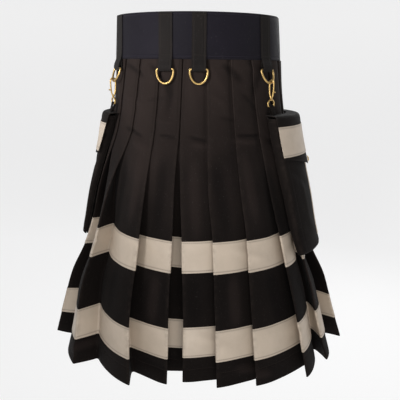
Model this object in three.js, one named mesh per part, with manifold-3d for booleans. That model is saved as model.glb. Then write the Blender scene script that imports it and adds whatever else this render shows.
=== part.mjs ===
// Utility kilt in its worn form: a pleated back panel, two flat front aprons, a waistband with
// loops and D-rings, two reflective bands and two cargo pockets hung from snap hooks.
// Millimetres, +Z up, the pleated back faces -Y. The origin is the centre of the waist at
// mid-height of the waistband.
import * as THREE from 'three';
import { mergeVertices } from 'three/addons/utils/BufferGeometryUtils.js';
import Module from 'manifold-3d';

const wasm = await Module();
wasm.setup();

const DEG = Math.PI / 180;

// Form of the body of the kilt at each height: half-width, how far its middle lies to the right,
// depth to the back and depth to the front.
const LEVELS = [
  { z: 36.5, side: 141.5, shift: -4, back: 124, front: 124 },
  { z: -36.8, side: 147, shift: -1.5, back: 124, front: 124 },
  { z: -80, side: 149.5, shift: -1, back: 126, front: 127 },
  { z: -155, side: 159, shift: 0, back: 138, front: 137 },
  { z: -215, side: 172, shift: 0, back: 147, front: 144 },
  { z: -270, side: 187, shift: 0, back: 152, front: 150 },
  { z: -332, side: 203, shift: 0, back: 158, front: 156 },
  { z: -384, side: 221, shift: 0, back: 170, front: 162 },
  { z: -437, side: 246, shift: 1, back: 181, front: 168 },
  { z: -500, side: 264, shift: 2, back: 192, front: 176 },
  { z: -571, side: 284, shift: 3.5, back: 203, front: 185 },
];
const CENTRE_BACK = -10 * DEG;   // where the centre of the pleats lies on the form

// Heights of the panels' rows. The band edges are rows too.
const SEAM = -36.8;
const HEM = -571;
const UPPER_BAND = [-332, -384];
const LOWER_BAND = [-476, -528];
const ROWS = [SEAM, -95, -155, -200, -250, ...UPPER_BAND, -430, ...LOWER_BAND, HEM];

// Cloth and how it lies in the pleats.
const CLOTH = 1.2;               // wall of the panels
const GAP = 0.3;                 // between pieces at seams
const LAYER = 2.1;               // from one layer of a closed pleat to the next
const TUCK = 4;                  // how deep the ends of the pleated panel lie at the side seams
const BAND_CLOTH = 1;            // reflective band
const SLACK = 6;                 // outward bow of an open pleat at the hem

// How the pleats change down the panel: length of the underfold, how far the fold angle and the
// swing of each ridge have come, and the radius of the inner folds.
const OPENING = [
  { z: SEAM, underfold: 30, open: 0, swing: 0, inner: 1.05 },
  { z: -155, underfold: 34, open: 0, swing: 0, inner: 1.05 },
  { z: -250, underfold: 38, open: 0.3, swing: 0, inner: 2 },
  { z: -332, underfold: 42, open: 0.55, swing: 0.1, inner: 3.8 },
  { z: -384, underfold: 44, open: 0.63, swing: 0.2, inner: 3.8 },
  { z: -476, underfold: 45, open: 0.8, swing: 0.7, inner: 3.8 },
  { z: HEM, underfold: 45, open: 1, swing: 1, inner: 3.8 },
];

// Fold edges from the centre out: distance round the form from the centre back at six heights,
// how far the edge stands out at the hem and how far the pleat has swung open there, in degrees.
const STATIONS = [SEAM, -155, -240, -332, -476, HEM];
const RIGHT_PLEATS = [
  { at: [1.1, -2.8, 1, 8, 19, 21], out: -16, open: 48 },
  { at: [39, 42, 47, 60, 74, 80], out: 4, open: 36 },
  { at: [78, 88, 101, 119, 137, 147], out: 5, open: 36 },
  { at: [117, 135, 160, 186, 220, 240], out: 12, open: 46 },
  { at: [156, 181, 206, 240, 283, 316], out: -6, open: 56 },
  { at: [195, 226, 252, 297, 376, 427], out: 0, open: 62 },
];
const LEFT_PLEATS = [
  { at: [1.1, 5.2, 9, 9, 7, 6], out: -6, open: 70 },
  { at: [39, 49, 60, 67, 71, 66], out: 12, open: 72 },
  { at: [78, 98, 142, 170, 192, 192], out: 6, open: 112 },
  { at: [117, 144, 194, 247, 306, 343], out: 3, open: 112 },
  { at: [156, 188, 238, 294, 382, 430], out: 0, open: 70 },
  { at: [195, 232, 281, 339, 446, 508], out: 0, open: 60 },
];
// Side seams of the pleated panel and the free edge of each apron, round from the centre back.
const RIGHT_SEAM = [245, 278, 310, 362, 458, 514];
const LEFT_SEAM = [240, 278, 326, 392, 510, 578];
const OVER_EDGE = [236, 268, 300, 351, 446, 500];
const UNDER_EDGE = [258, 300, 350, 418, 534, 600];

// Waistband.
const BAND_TOP = 36.5;
const BAND_FOOT = -36.5;
const BAND_WALL = 3;
const BAND_FACE = 1.2;           // outer face of the band, out from the form
const BAND_UNDER = -2.4;         // outer face of the band where it lies under the over apron
const BAND_STEPS = 78;

// Loops and D-rings, by their angle on the form, and how far each hook has slid along its ring.
const LOOP_WIDTH = 23;
const LOOP_CLOTH = 1.2;
const LOOP_LINE = [[2.4, 35.5], [2.4, 0], [2.4, -24], [3.9, -36]];   // out from the form, height
const LOOP_TAIL = 13.5;          // how far its end rises behind the bar
const RING_WIRE = 3.4;
const RING_BAR = { out: 4.9, z: -52.4 };
const RING_HALF = 14.4;
const RING_DROP = 23;
const RING_CORNER = 3;
const LOOPS = [
  { name: 'back_left', angle: -21, tilt: 0 },
  { name: 'back_right', angle: 0, tilt: 0 },
  { name: 'side_right', angle: 48, tilt: 20, slid: 5 },
  { name: 'front_right', angle: 117, tilt: 20, slid: -5 },
  { name: 'side_left', angle: -66, tilt: 20, slid: -5 },
  { name: 'front_left', angle: -134, tilt: 20, slid: 5 },
];

// Snap hooks: a bow through the ring, a post and an eye for the strap.
const HOOK = {
  wire: 2.8, width: 9, length: 30, post: 3, postRadius: 2.2, neck: 1.6, shoulder: 8, eyeWidth: 17, eyeHeight: 13,
};
const LEVER = { foot: 9, tip: 10.5, reach: 3.4, radius: 1.1 };   // thumb lever of the hook's gate
const STRAP = { width: 10, cloth: 1.2, seat: 11 };

// Cargo pockets, by the angle of their middle on the form at the top and at the foot, and how full
// the gussets stand at the top and at the foot.
const POCKETS = [
  { name: 'right', angle: 82.5, angleFoot: 82.5, full: 17, fullFoot: 10 },
  { name: 'left', angle: -101, angleFoot: -127, full: 10, fullFoot: 9 },
];
const POCKET = { half: 88, top: -131, foot: -370, back: 4.8 };
const POCKET_ROWS = [-180, -230, -280, -332];   // heights of its rows between top and foot
const FLAP = {
  half: 91, top: -127.6, low: -199, point: -219, bandTop: -145, bandFoot: -196, root: 4.2, roll: 4,
};
const STRIP = { half: 12.5, top: -204, foot: -350 };
const SNAP = { radius: 6, height: 2.6 };

const BLACK = { color: 0x1f1c1f, roughness: 0.9, metalness: 0 };
const SILVER = { color: 0xaa9d90, roughness: 0.5, metalness: 0.1 };
const BRASS = { color: 0xb9985a, roughness: 0.35, metalness: 0.9 };

// Smooth value of a column of a table at a height, with no overshoot between its rows.
function smooth(xs, ys, x) {
  const rising = xs[0] < xs[xs.length - 1];
  const px = rising ? xs : [...xs].reverse();
  const py = rising ? ys : [...ys].reverse();
  const last = px.length - 1;
  const at = Math.min(Math.max(x, px[0]), px[last]);
  const step = [];
  const rise = [];
  for (let i = 0; i < last; i += 1) {
    step.push(px[i + 1] - px[i]);
    rise.push((py[i + 1] - py[i]) / step[i]);
  }
  const slope = [rise[0]];
  for (let i = 1; i < last; i += 1) {
    const product = rise[i - 1] * rise[i];
    slope.push(product <= 0 ? 0 : (2 * product) / (rise[i - 1] + rise[i]));
  }
  slope.push(rise[last - 1]);
  let i = 0;
  while (i < last - 1 && at > px[i + 1]) i += 1;
  const t = (at - px[i]) / step[i];
  return (1 + 2 * t) * (1 - t) ** 2 * py[i] + t * (1 - t) ** 2 * step[i] * slope[i]
    + t * t * (3 - 2 * t) * py[i + 1] + t * t * (t - 1) * step[i] * slope[i + 1];
}

const levelHeights = LEVELS.map((row) => row.z);
const openingHeights = OPENING.map((row) => row.z);
const level = (key, z) => smooth(levelHeights, LEVELS.map((row) => row[key]), z);
const opening = (key, z) => smooth(openingHeights, OPENING.map((row) => row[key]), z);
const station = (values, z) => smooth(STATIONS, values, z);

// The form at one height as a closed curve measured from the centre back.
const curves = new Map();
function curve(z) {
  const key = z.toFixed(3);
  if (curves.has(key)) return curves.get(key);
  const side = level('side', z);
  const shift = level('shift', z);
  const back = level('back', z);
  const front = level('front', z);
  const steps = 1440;
  const angles = [];
  const arcs = [0];
  let px = 0;
  let py = 0;
  for (let i = 0; i <= steps; i += 1) {
    const t = CENTRE_BACK + (i / steps - 0.5) * 2 * Math.PI;
    const c = Math.cos(t);
    const x = side * Math.sin(t);
    const y = -(c > 0 ? back : front) * c;
    if (i > 0) arcs.push(arcs[i - 1] + Math.hypot(x - px, y - py));
    angles.push(t);
    px = x;
    py = y;
  }
  const middle = arcs[steps / 2];
  const found = { side, shift, back, front, angles, arcs: arcs.map((s) => s - middle), length: arcs[steps] };
  curves.set(key, found);
  return found;
}

function lookup(xs, ys, x) {
  let low = 0;
  let high = xs.length - 1;
  while (high - low > 1) {
    const middle = (low + high) >> 1;
    if (xs[middle] > x) high = middle;
    else low = middle;
  }
  return ys[low] + ((ys[high] - ys[low]) * (x - xs[low])) / (xs[high] - xs[low]);
}

// Point of the form at an angle, moved out by a distance.
function atAngle(z, t, out) {
  const { side, shift, back, front } = curve(z);
  const c = Math.cos(t);
  const depth = c > 0 ? back : front;
  const nx = Math.sin(t) / side;
  const ny = -c / depth;
  const k = Math.hypot(nx, ny);
  return new THREE.Vector3(shift + side * Math.sin(t) + (out * nx) / k, -depth * c + (out * ny) / k, z);
}

// Point at a distance round the form from the centre back, moved out.
function place(z, s, out) {
  const { angles, arcs, length } = curve(z);
  let wrapped = s;
  while (wrapped > arcs[arcs.length - 1]) wrapped -= length;
  while (wrapped < arcs[0]) wrapped += length;
  return atAngle(z, lookup(arcs, angles, wrapped), out);
}

const arcAt = (z, degrees) => {
  const { angles, arcs } = curve(z);
  let t = degrees * DEG;
  while (t < angles[0]) t += 2 * Math.PI;
  while (t > angles[angles.length - 1]) t -= 2 * Math.PI;
  return lookup(angles, arcs, t);
};

// A closed body between two grids of points that share their edges.
function between(outer, inner) {
  const rows = outer.length;
  const cols = outer[0].length;
  const positions = [];
  const index = [];
  [...outer, ...inner].forEach((row) => row.forEach((p) => positions.push(p.x, p.y, p.z)));
  const o = (r, c) => r * cols + c;
  const i = (r, c) => (rows + r) * cols + c;
  const quad = (a, b, c, d) => index.push(a, b, c, a, c, d);
  for (let r = 0; r < rows - 1; r += 1) {
    for (let c = 0; c < cols - 1; c += 1) {
      quad(o(r, c), o(r + 1, c), o(r + 1, c + 1), o(r, c + 1));
      quad(i(r, c), i(r, c + 1), i(r + 1, c + 1), i(r + 1, c));
    }
    quad(o(r, 0), i(r, 0), i(r + 1, 0), o(r + 1, 0));
    quad(o(r, cols - 1), o(r + 1, cols - 1), i(r + 1, cols - 1), i(r, cols - 1));
  }
  for (let c = 0; c < cols - 1; c += 1) {
    quad(o(0, c), o(0, c + 1), i(0, c + 1), i(0, c));
    quad(o(rows - 1, c), i(rows - 1, c), i(rows - 1, c + 1), o(rows - 1, c + 1));
  }
  return facingOut(positions, index);
}

function facingOut(positions, index) {
  const geometry = new THREE.BufferGeometry();
  geometry.setAttribute('position', new THREE.Float32BufferAttribute(positions, 3));
  const p = (k) => new THREE.Vector3().fromArray(positions, 3 * k);
  let volume = 0;
  for (let k = 0; k < index.length; k += 3) {
    volume += p(index[k]).dot(p(index[k + 1]).cross(p(index[k + 2])));
  }
  const turned = volume > 0 ? index : index.map((v, k) => (k % 3 === 1 ? index[k + 1]
    : (k % 3 === 2 ? index[k - 1] : v)));
  geometry.setIndex(turned);
  geometry.computeVertexNormals();
  return geometry;
}

// Moves a row of [s, out] points sideways, to the outer side of the cloth when the distance is
// positive. The row runs to the right as seen from outside.
function beside(row, distance) {
  return row.map((p, k) => {
    const before = row[Math.max(k - 1, 0)];
    const after = row[Math.min(k + 1, row.length - 1)];
    const normal = (a, b) => {
      const long = Math.hypot(b[0] - a[0], b[1] - a[1]) || 1;
      return [-(b[1] - a[1]) / long, (b[0] - a[0]) / long];
    };
    const first = k > 0 ? normal(before, p) : normal(p, after);
    const second = k < row.length - 1 ? normal(p, after) : first;
    const sum = [first[0] + second[0], first[1] + second[1]];
    const size = sum[0] ** 2 + sum[1] ** 2;
    const scale = (2 * distance) / Math.max(size, 0.9);
    return [p[0] + sum[0] * scale, p[1] + sum[1] * scale];
  });
}

// A wall through rows of [s, out] points, one row for each height, between two distances from it.
// Short of its ends by a number of points where it is a band that stops before the side seams.
function wall(heights, rowAt, low, high, short = 0) {
  const grid = (distance) => heights.map((z) => {
    const row = beside(rowAt(z), distance);
    return row.slice(short, row.length - short).map(([s, out]) => place(z, s, out));
  });
  return between(grid(high), grid(low));
}

// The three points of a fold whose tip is at p, between two directions.
function fold(p, arriving, leaving, radius, turn) {
  const e = [arriving[0] - leaving[0], arriving[1] - leaving[1]];
  const size = Math.hypot(e[0], e[1]);
  e[0] /= size;
  e[1] /= size;
  const base = [p[0] - e[0] * radius, p[1] - e[1] * radius];
  const q = turn > 0 ? [e[1], -e[0]] : [-e[1], e[0]];
  return [
    [base[0] + q[0] * radius, base[1] + q[1] * radius],
    p,
    [base[0] - q[0] * radius, base[1] - q[1] * radius],
  ];
}

const towards = (a, b) => {
  const long = Math.hypot(b[0] - a[0], b[1] - a[1]);
  return [(b[0] - a[0]) / long, (b[1] - a[1]) / long];
};

// One half of the pleated panel at one height, from the box pleat's middle out to its seam.
function halfRow(z, pleats, middle, end) {
  const underfold = opening('underfold', z);
  const openness = opening('open', z);
  const swing = opening('swing', z);
  const innerRadius = opening('inner', z);
  const ridgeRadius = LAYER / 2;
  const ridges = pleats.map((row) => [station(row.at, z), row.out * swing]);
  const valleys = pleats.map((row, k) => {
    const angle = row.open * openness * DEG;
    const depth = Math.max(1.5 * LAYER - LAYER / 2, underfold * Math.sin(angle));
    return [ridges[k][0] + underfold * Math.cos(angle), ridges[k][1] - ridgeRadius - depth];
  });
  const row = [];
  let from = [middle, valleys[0][1] - innerRadius];
  row.push(from);
  for (let k = 0; k < ridges.length; k += 1) {
    const valley = valleys[k];
    const tip = [ridges[k][0], ridges[k][1] - ridgeRadius];
    const next = k + 1 < ridges.length ? valleys[k + 1] : [end, -TUCK];
    const arriving = towards(from, valley);
    const back = towards(valley, tip);
    row.push(...fold(valley, arriving, back, innerRadius, 1));
    const folded = fold(tip, back, towards(tip, next), ridgeRadius, -1);
    const turned = row[row.length - 1];
    row.push([(turned[0] + folded[0][0]) / 2, (turned[1] + folded[0][1]) / 2]);
    row.push(...folded);
    const start = folded[2];
    const last = k + 1 === ridges.length;
    const goal = last ? next : [next[0], next[1] - innerRadius];
    const straight = (s) => start[1] + ((goal[1] - start[1]) * (s - start[0])) / (goal[0] - start[0]);
    const reach = last ? end - 3 : Math.min(ridges[k + 1][0] - 2, goal[0] - 6);
    const knee = last ? -TUCK : Math.min(ridges[k + 1][1] - 2 * LAYER, straight(reach));
    const shoulder = Math.max(Math.min(valley[0] + 1.5, reach - 4), (start[0] + reach) / 2);
    const above = valley[1] + 2 * innerRadius + CLOTH + 0.6;
    const shoulderOut = Math.min(Math.max(straight(shoulder), above), start[1]);
    const bow = SLACK * Math.max(openness - 0.63, 0);
    for (const part of [0.35, 0.7, 1]) {
      const line = start[1] + (shoulderOut - start[1]) * part;
      row.push([start[0] + (shoulder - start[0]) * part, line + bow * 2 * part * (1 - part)]);
    }
    row.push([reach, knee]);
    from = [reach, knee];
  }
  row.push([end, -TUCK]);
  return row;
}

const mirrored = (row) => row.map(([s, out]) => [-s, out]).reverse();

function backRow(z) {
  const right = station(RIGHT_PLEATS[0].at, z);
  const left = station(LEFT_PLEATS[0].at, z);
  const middle = (right - left) / 2;
  const rightHalf = halfRow(z, RIGHT_PLEATS, middle, station(RIGHT_SEAM, z) - GAP / 2);
  const leftHalf = mirrored(halfRow(z, LEFT_PLEATS, -middle, station(LEFT_SEAM, z) - GAP / 2));
  const centre = [middle, (rightHalf[0][1] + leftHalf[leftHalf.length - 1][1]) / 2];
  return [...leftHalf.slice(0, -1), centre, ...rightHalf.slice(1)];
}

// Row of an apron between two distances round the front, outermost or under the other.
function apronRow(z, from, to, outAt) {
  const count = 18;
  return Array.from({ length: count + 1 }, (_, k) => {
    const part = k / count;
    const s = from + (to - from) * part;
    return [s, outAt(part)];
  });
}

function overRow(z) {
  const { length } = curve(z);
  const from = station(OVER_EDGE, z);
  const to = length - station(LEFT_SEAM, z) - GAP / 2;
  return apronRow(z, from, to, (part) => (part > 0.93 ? -TUCK * ((part - 0.93) / 0.07) : 0));
}

function underRow(z) {
  const { length } = curve(z);
  const from = station(RIGHT_SEAM, z) + GAP / 2;
  const to = length - station(UNDER_EDGE, z);
  return apronRow(z, from, to, () => -TUCK);
}

// The waistband runs once round the outside and then on under the over apron.
function bandRow(z) {
  const { length } = curve(z);
  const from = OVER_EDGE[0] - length;
  const to = length - UNDER_EDGE[0];
  const outer = BAND_FACE - BAND_WALL / 2;
  const under = BAND_UNDER - BAND_WALL / 2;
  return Array.from({ length: BAND_STEPS + 1 }, (_, k) => {
    const s = from + ((to - from) * k) / BAND_STEPS;
    const part = Math.min(Math.max((s - (OVER_EDGE[0] - 40)) / 36, 0), 1);
    return [s, outer + (under - outer) * part * part * (3 - 2 * part)];
  });
}

// Frame at an angle of the form: x along the cloth to the right, y outward, z up.
function frameAt(degrees, z) {
  const t = degrees * DEG;
  const origin = atAngle(z, t, 0);
  const outward = atAngle(z, t, 1).sub(origin);
  const right = new THREE.Vector3(-outward.y, outward.x, 0);
  return { origin, outward, right };
}

function inFrame(frame, x, out, z) {
  return new THREE.Vector3(frame.origin.x, frame.origin.y, 0)
    .addScaledVector(frame.right, x).addScaledVector(frame.outward, out).setZ(z);
}

// A flat strip of cloth whose side view is a row of [out, z] points.
function strip(frame, side, width, thickness, middle = 0) {
  const outer = beside(side, thickness / 2);
  const inner = beside(side, -thickness / 2);
  const columns = [middle - width / 2, middle + width / 2];
  const grid = (row) => row.map(([out, z]) => columns.map((x) => inFrame(frame, x, out, z)));
  return between(grid(outer), grid(inner));
}

// A closed tube of even thickness round a closed row of points.
function ringTube(points, radius, sides, plane) {
  const count = points.length;
  const positions = [];
  const index = [];
  points.forEach((p, k) => {
    const along = points[(k + 1) % count].clone().sub(points[(k - 1 + count) % count]).normalize();
    const across = plane.clone().cross(along).normalize();
    for (let j = 0; j < sides; j += 1) {
      const a = ((j + 0.5) / sides) * 2 * Math.PI;
      const q = p.clone().addScaledVector(across, radius * Math.cos(a))
        .addScaledVector(plane, radius * Math.sin(a));
      positions.push(q.x, q.y, q.z);
    }
  });
  for (let k = 0; k < count; k += 1) {
    for (let j = 0; j < sides; j += 1) {
      const a = k * sides + j;
      const b = k * sides + ((j + 1) % sides);
      const c = ((k + 1) % count) * sides + ((j + 1) % sides);
      const d = ((k + 1) % count) * sides + j;
      index.push(a, b, c, a, c, d);
    }
  }
  return facingOut(positions, index);
}

// Distance of the form at an angle and height from its place at the ring's bar.
function lean(degrees, z) {
  const t = degrees * DEG;
  const frame = frameAt(degrees, RING_BAR.z);
  return atAngle(z, t, 0).sub(frame.origin).dot(frame.outward);
}

function loopGeometry(loop) {
  const frame = frameAt(loop.angle, RING_BAR.z);
  const rise = (z) => lean(loop.angle, z);
  const { out, z } = RING_BAR;
  const reach = RING_WIRE / 2 + GAP + LOOP_CLOTH / 2 + 0.1;
  const side = [
    ...LOOP_LINE.map(([from, height]) => [from + rise(height), height]),
    [out + reach * 0.85, z + 6],
    [out + reach, z + 0.5],
    [out + reach * 0.72, z - reach * 0.72],
    [out, z - reach],
    [out - reach * 0.72, z - reach * 0.72],
    [out - reach, z + 0.5],
    [out - reach + 0.2, z + LOOP_TAIL],
  ];
  return strip(frame, side, LOOP_WIDTH, LOOP_CLOTH);
}

// The ring hangs from its bar, turned out from the cloth by its tilt.
function ringGeometry(loop) {
  const frame = frameAt(loop.angle, RING_BAR.z);
  const tilt = loop.tilt * DEG;
  const outline = [];
  [-1, -0.5, 0, 0.5, 1].forEach((part) => outline.push([part * (RING_HALF - 2.4), 0]));
  outline.push([RING_HALF - 0.7, -0.7]);
  for (let k = 0; k <= 12; k += 1) {
    const a = (k / 12) * Math.PI;
    outline.push([RING_HALF * Math.cos(a), -RING_CORNER - (RING_DROP - RING_CORNER) * Math.sin(a)]);
  }
  outline.push([-RING_HALF + 0.7, -0.7]);
  const points = outline.map(([x, drop]) => (
    inFrame(frame, x, RING_BAR.out - drop * Math.sin(tilt), RING_BAR.z + drop * Math.cos(tilt))));
  const plane = frame.outward.clone().multiplyScalar(Math.cos(tilt)).setZ(Math.sin(tilt)).normalize();
  return ringTube(points, RING_WIRE / 2, 6, plane);
}

// Where a tilted ring's wire lies under a place along its bar, as [out, z] in the loop's frame.
function ringFoot(loop) {
  const tilt = loop.tilt * DEG;
  const drop = RING_CORNER + (RING_DROP - RING_CORNER) * Math.sqrt(1 - (loop.slid / RING_HALF) ** 2);
  return [RING_BAR.out + drop * Math.sin(tilt), RING_BAR.z - drop * Math.cos(tilt)];
}

function solid(geometry) {
  const bare = geometry.clone();
  bare.deleteAttribute('normal');
  bare.deleteAttribute('uv');
  const merged = mergeVertices(bare, 1e-4);
  return new wasm.Manifold(new wasm.Mesh({
    numProp: 3,
    vertProperties: new Float32Array(merged.attributes.position.array),
    triVerts: new Uint32Array(merged.index.array),
  }));
}

function joined(...geometries) {
  const whole = geometries.map(solid).reduce((a, b) => a.add(b));
  const mesh = whole.getMesh();
  const geometry = new THREE.BufferGeometry();
  geometry.setAttribute('position', new THREE.Float32BufferAttribute(mesh.vertProperties, 3));
  geometry.setIndex(Array.from(mesh.triVerts));
  geometry.computeVertexNormals();
  return geometry;
}

function rod(from, to, radius, sides) {
  const path = new THREE.LineCurve3(from, to);
  const outline = new THREE.Shape(Array.from({ length: sides }, (_, k) => {
    const a = ((k + 0.5) / sides) * 2 * Math.PI;
    return new THREE.Vector2(radius * Math.cos(a), radius * Math.sin(a));
  }));
  return new THREE.ExtrudeGeometry(outline, { steps: 1, extrudePath: path, bevelEnabled: false });
}

// A snap hook: its bow stands across the ring, its eye lies along the cloth.
function hookGeometry(loop) {
  const frame = frameAt(loop.angle, RING_BAR.z);
  const [out, z] = ringFoot(loop);
  const top = z + RING_WIRE / 2 + 2.5 * GAP + HOOK.wire / 2;
  const foot = top - HOOK.length;
  const half = HOOK.width / 2;
  const bow = [];
  for (let k = 0; k <= 6; k += 1) {
    const a = (k / 6) * Math.PI;
    bow.push([out + half * Math.cos(a), top - half + half * Math.sin(a)]);
  }
  const { neck, shoulder } = HOOK;
  bow.push([out - half * 0.8, foot + shoulder], [out - neck, foot + 1.5], [out, foot]);
  bow.push([out + neck, foot + 1.5], [out + half * 0.8, foot + shoulder]);
  const x = loop.slid;
  const bowPoints = bow.map(([o, h]) => inFrame(frame, x, o, h));
  const bowTube = ringTube(bowPoints, HOOK.wire / 2, 6, frame.right);
  const eyeTop = foot - HOOK.post;
  const wide = (HOOK.eyeWidth - HOOK.wire) / 2;
  const tall = HOOK.eyeHeight - HOOK.wire;
  const eye = [
    [-wide * 0.45, 0], [wide * 0.45, 0], [wide, -tall * 0.35], [wide, -tall + 1], [wide - 1, -tall],
    [-wide + 1, -tall], [-wide, -tall + 1], [-wide, -tall * 0.35],
  ].map(([across, drop]) => inFrame(frame, x + across, out, eyeTop + drop));
  const eyeTube = ringTube(eye, HOOK.wire / 2, 6, frame.outward);
  const post = rod(
    inFrame(frame, x, out, foot + 1), inFrame(frame, x, out, eyeTop - 0.8), HOOK.postRadius, 8);
  const lever = rod(
    inFrame(frame, x, out + half * 0.8, foot + LEVER.foot),
    inFrame(frame, x, out + half + LEVER.reach, foot + LEVER.tip), LEVER.radius, 6);
  return { geometry: joined(bowTube, eyeTube, post, lever), frame, x, out, eyeBar: eyeTop - tall };
}

// The strap goes round the lower bar of the eye and down to the top of the flap.
function strapGeometry(hook, angle) {
  const { frame, x, out, eyeBar } = hook;
  const reach = HOOK.wire / 2 + GAP + STRAP.cloth / 2 + 0.1;
  const foot = FLAP.top + CLOTH / 2 + 2 * GAP;
  const seat = lean(angle, foot) + STRAP.seat;
  const side = [
    [seat - 1.2, foot], [out - reach, eyeBar - 1.5], [out - reach * 0.8, eyeBar + reach * 0.6],
    [out, eyeBar + reach], [out + reach * 0.8, eyeBar + reach * 0.6], [out + reach, eyeBar - 1.5],
    [seat + 1.2, foot],
  ];
  return strip(frame, side, STRAP.width, STRAP.cloth, x);
}

// A wall between two distances from a grid of points, moved along the grid's own normals.
function thickened(grid, low, high) {
  const rows = grid.length;
  const cols = grid[0].length;
  const normalOf = (a, b, c) => b.clone().sub(a).cross(c.clone().sub(a)).normalize();
  const moved = (distance) => grid.map((row, r) => row.map((p, c) => {
    const sum = new THREE.Vector3();
    const faces = [];
    for (const [dr, dc] of [[-1, -1], [-1, 0], [0, 0], [0, -1]]) {
      const r0 = r + dr;
      const c0 = c + dc;
      if (r0 >= 0 && c0 >= 0 && r0 < rows - 1 && c0 < cols - 1) {
        faces.push(normalOf(grid[r0][c0], grid[r0 + 1][c0], grid[r0][c0 + 1]));
      }
    }
    faces.forEach((f) => sum.add(f));
    sum.normalize();
    const spread = Math.max(Math.min(...faces.map((f) => f.dot(sum))), 0.6);
    return p.clone().addScaledVector(sum, distance / spread);
  }));
  return between(moved(high), moved(low));
}

// Point of a pocket: across it from its middle, out from the form, at a height.
function pocketPoint(pocket, x, out, z) {
  const part = (POCKET.top - z) / (POCKET.top - POCKET.foot);
  const angle = pocket.angle + (pocket.angleFoot - pocket.angle) * part;
  return place(z, arcAt(z, angle) + x, out);
}

function pocketDepth(pocket, z) {
  const part = (POCKET.top - z) / (POCKET.top - POCKET.foot);
  return pocket.full + (pocket.fullFoot - pocket.full) * part;
}

function pocketBack(pocket) {
  const heights = [POCKET.top, ...POCKET_ROWS, POCKET.foot];
  const columns = Array.from({ length: 13 }, (_, k) => (k / 6 - 1) * POCKET.half);
  return thickened(
    heights.map((z) => columns.map((x) => pocketPoint(pocket, x, POCKET.back, z))), -CLOTH / 2, CLOTH / 2);
}

// Front and gussets in one: round the sides and closed underneath, open at the top and at the back.
function pocketFront(pocket) {
  const base = POCKET.back + CLOTH + GAP;
  const across = (depth) => {
    const h = POCKET.half;
    const side = [[-h, 0], [-h - 0.6, depth * 0.5], [-h + 0.5, depth - 2], [-h + 4, depth]];
    const face = Array.from({ length: 9 }, (_, k) => [(-0.82 + (k * 0.82) / 4) * h, depth + 0.8]);
    return [...side, ...face, ...side.map(([x, out]) => [-x, out]).reverse()];
  };
  const rows = [POCKET.top - 1, ...POCKET_ROWS, POCKET.foot + 10].map((z) => (
    { z, depth: pocketDepth(pocket, z) }));
  const full = pocketDepth(pocket, POCKET.foot);
  rows.push({ z: POCKET.foot + 2.5, depth: full * 0.93 });
  rows.push({ z: POCKET.foot, depth: full * 0.66 });
  rows.push({ z: POCKET.foot - 0.4, depth: full * 0.28 });
  return thickened(rows.map(({ z, depth }) => (
    across(depth).map(([x, out]) => pocketPoint(pocket, x, base + out, z)))), -CLOTH / 2, CLOTH / 2);
}

// Middle of the cloth of a pocket's front and of its flap, out from the form.
const frontFace = (pocket, z) => POCKET.back + CLOTH + GAP + pocketDepth(pocket, z) + 0.8;
const flapFace = (pocket) => frontFace(pocket, POCKET.top) + CLOTH + BAND_CLOTH + 3 * GAP;

const flapFoot = (x) => FLAP.low + (FLAP.point - FLAP.low) * (1 - Math.abs(x) / FLAP.half) ** 1.3;

function flapGrid(pocket, heightsAt, outs, columns) {
  return heightsAt.map((heightOf, k) => columns.map((x) => pocketPoint(pocket, x, outs[k], heightOf(x))));
}

const flapColumns = Array.from({ length: 13 }, (_, k) => (k / 6 - 1) * FLAP.half);
const flat = (z) => () => z;

function pocketFlap(pocket) {
  const heights = [
    flat(FLAP.top), flat(FLAP.top), flat(FLAP.top - 0.8), flat(FLAP.top - FLAP.roll), flat(FLAP.bandTop),
    flat(FLAP.bandFoot), flapFoot,
  ];
  const face = flapFace(pocket);
  const outs = [FLAP.root, (face + 3) / 2, face - 2, face, face + 0.2, face - 0.3, face - 0.3];
  return thickened(flapGrid(pocket, heights, outs, flapColumns), -CLOTH / 2, CLOTH / 2);
}

function pocketFlapBand(pocket) {
  const low = CLOTH / 2 + GAP;
  const face = flapFace(pocket);
  const heights = [flat(FLAP.bandTop), flat(FLAP.bandFoot)];
  const grid = flapGrid(pocket, heights, [face + 0.2, face - 0.3], flapColumns);
  return thickened(grid, low, low + BAND_CLOTH);
}

function pocketStrip(pocket) {
  const low = CLOTH / 2 + GAP;
  const heights = [STRIP.top, ...POCKET_ROWS.slice(1), STRIP.foot];
  const columns = [-STRIP.half, 0, STRIP.half];
  const grid = heights.map((z) => columns.map((x) => pocketPoint(pocket, x, frontFace(pocket, z), z)));
  return thickened(grid, low + 0.15, low + 0.15 + BAND_CLOTH);
}

// A round snap whose flat back lies on the cloth at a point, facing out.
function snapGeometry(point, outward) {
  const profile = [[0, 0], [SNAP.radius, 0], [SNAP.radius, 0.9], [SNAP.radius * 0.72, 1.6],
    [SNAP.radius * 0.62, SNAP.height], [0, SNAP.height]];
  const geometry = new THREE.LatheGeometry(profile.map(([r, h]) => new THREE.Vector2(r, h)), 10);
  const turn = new THREE.Quaternion().setFromUnitVectors(new THREE.Vector3(0, 1, 0), outward);
  geometry.applyQuaternion(turn);
  geometry.translate(point.x, point.y, point.z);
  return geometry;
}

const kilt = new THREE.Group();
function add(name, geometry, look) {
  const mesh = new THREE.Mesh(geometry, new THREE.MeshStandardMaterial(look));
  mesh.name = name;
  kilt.add(mesh);
}

add('waistband', wall([BAND_TOP, 0, BAND_FOOT], bandRow, -BAND_WALL / 2, BAND_WALL / 2), BLACK);
add('pleated_back', wall(ROWS, backRow, -CLOTH / 2, CLOTH / 2), BLACK);
add('over_apron', wall(ROWS, overRow, -CLOTH / 2, CLOTH / 2), BLACK);
add('under_apron', wall(ROWS, underRow, -CLOTH / 2, CLOTH / 2), BLACK);

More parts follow.
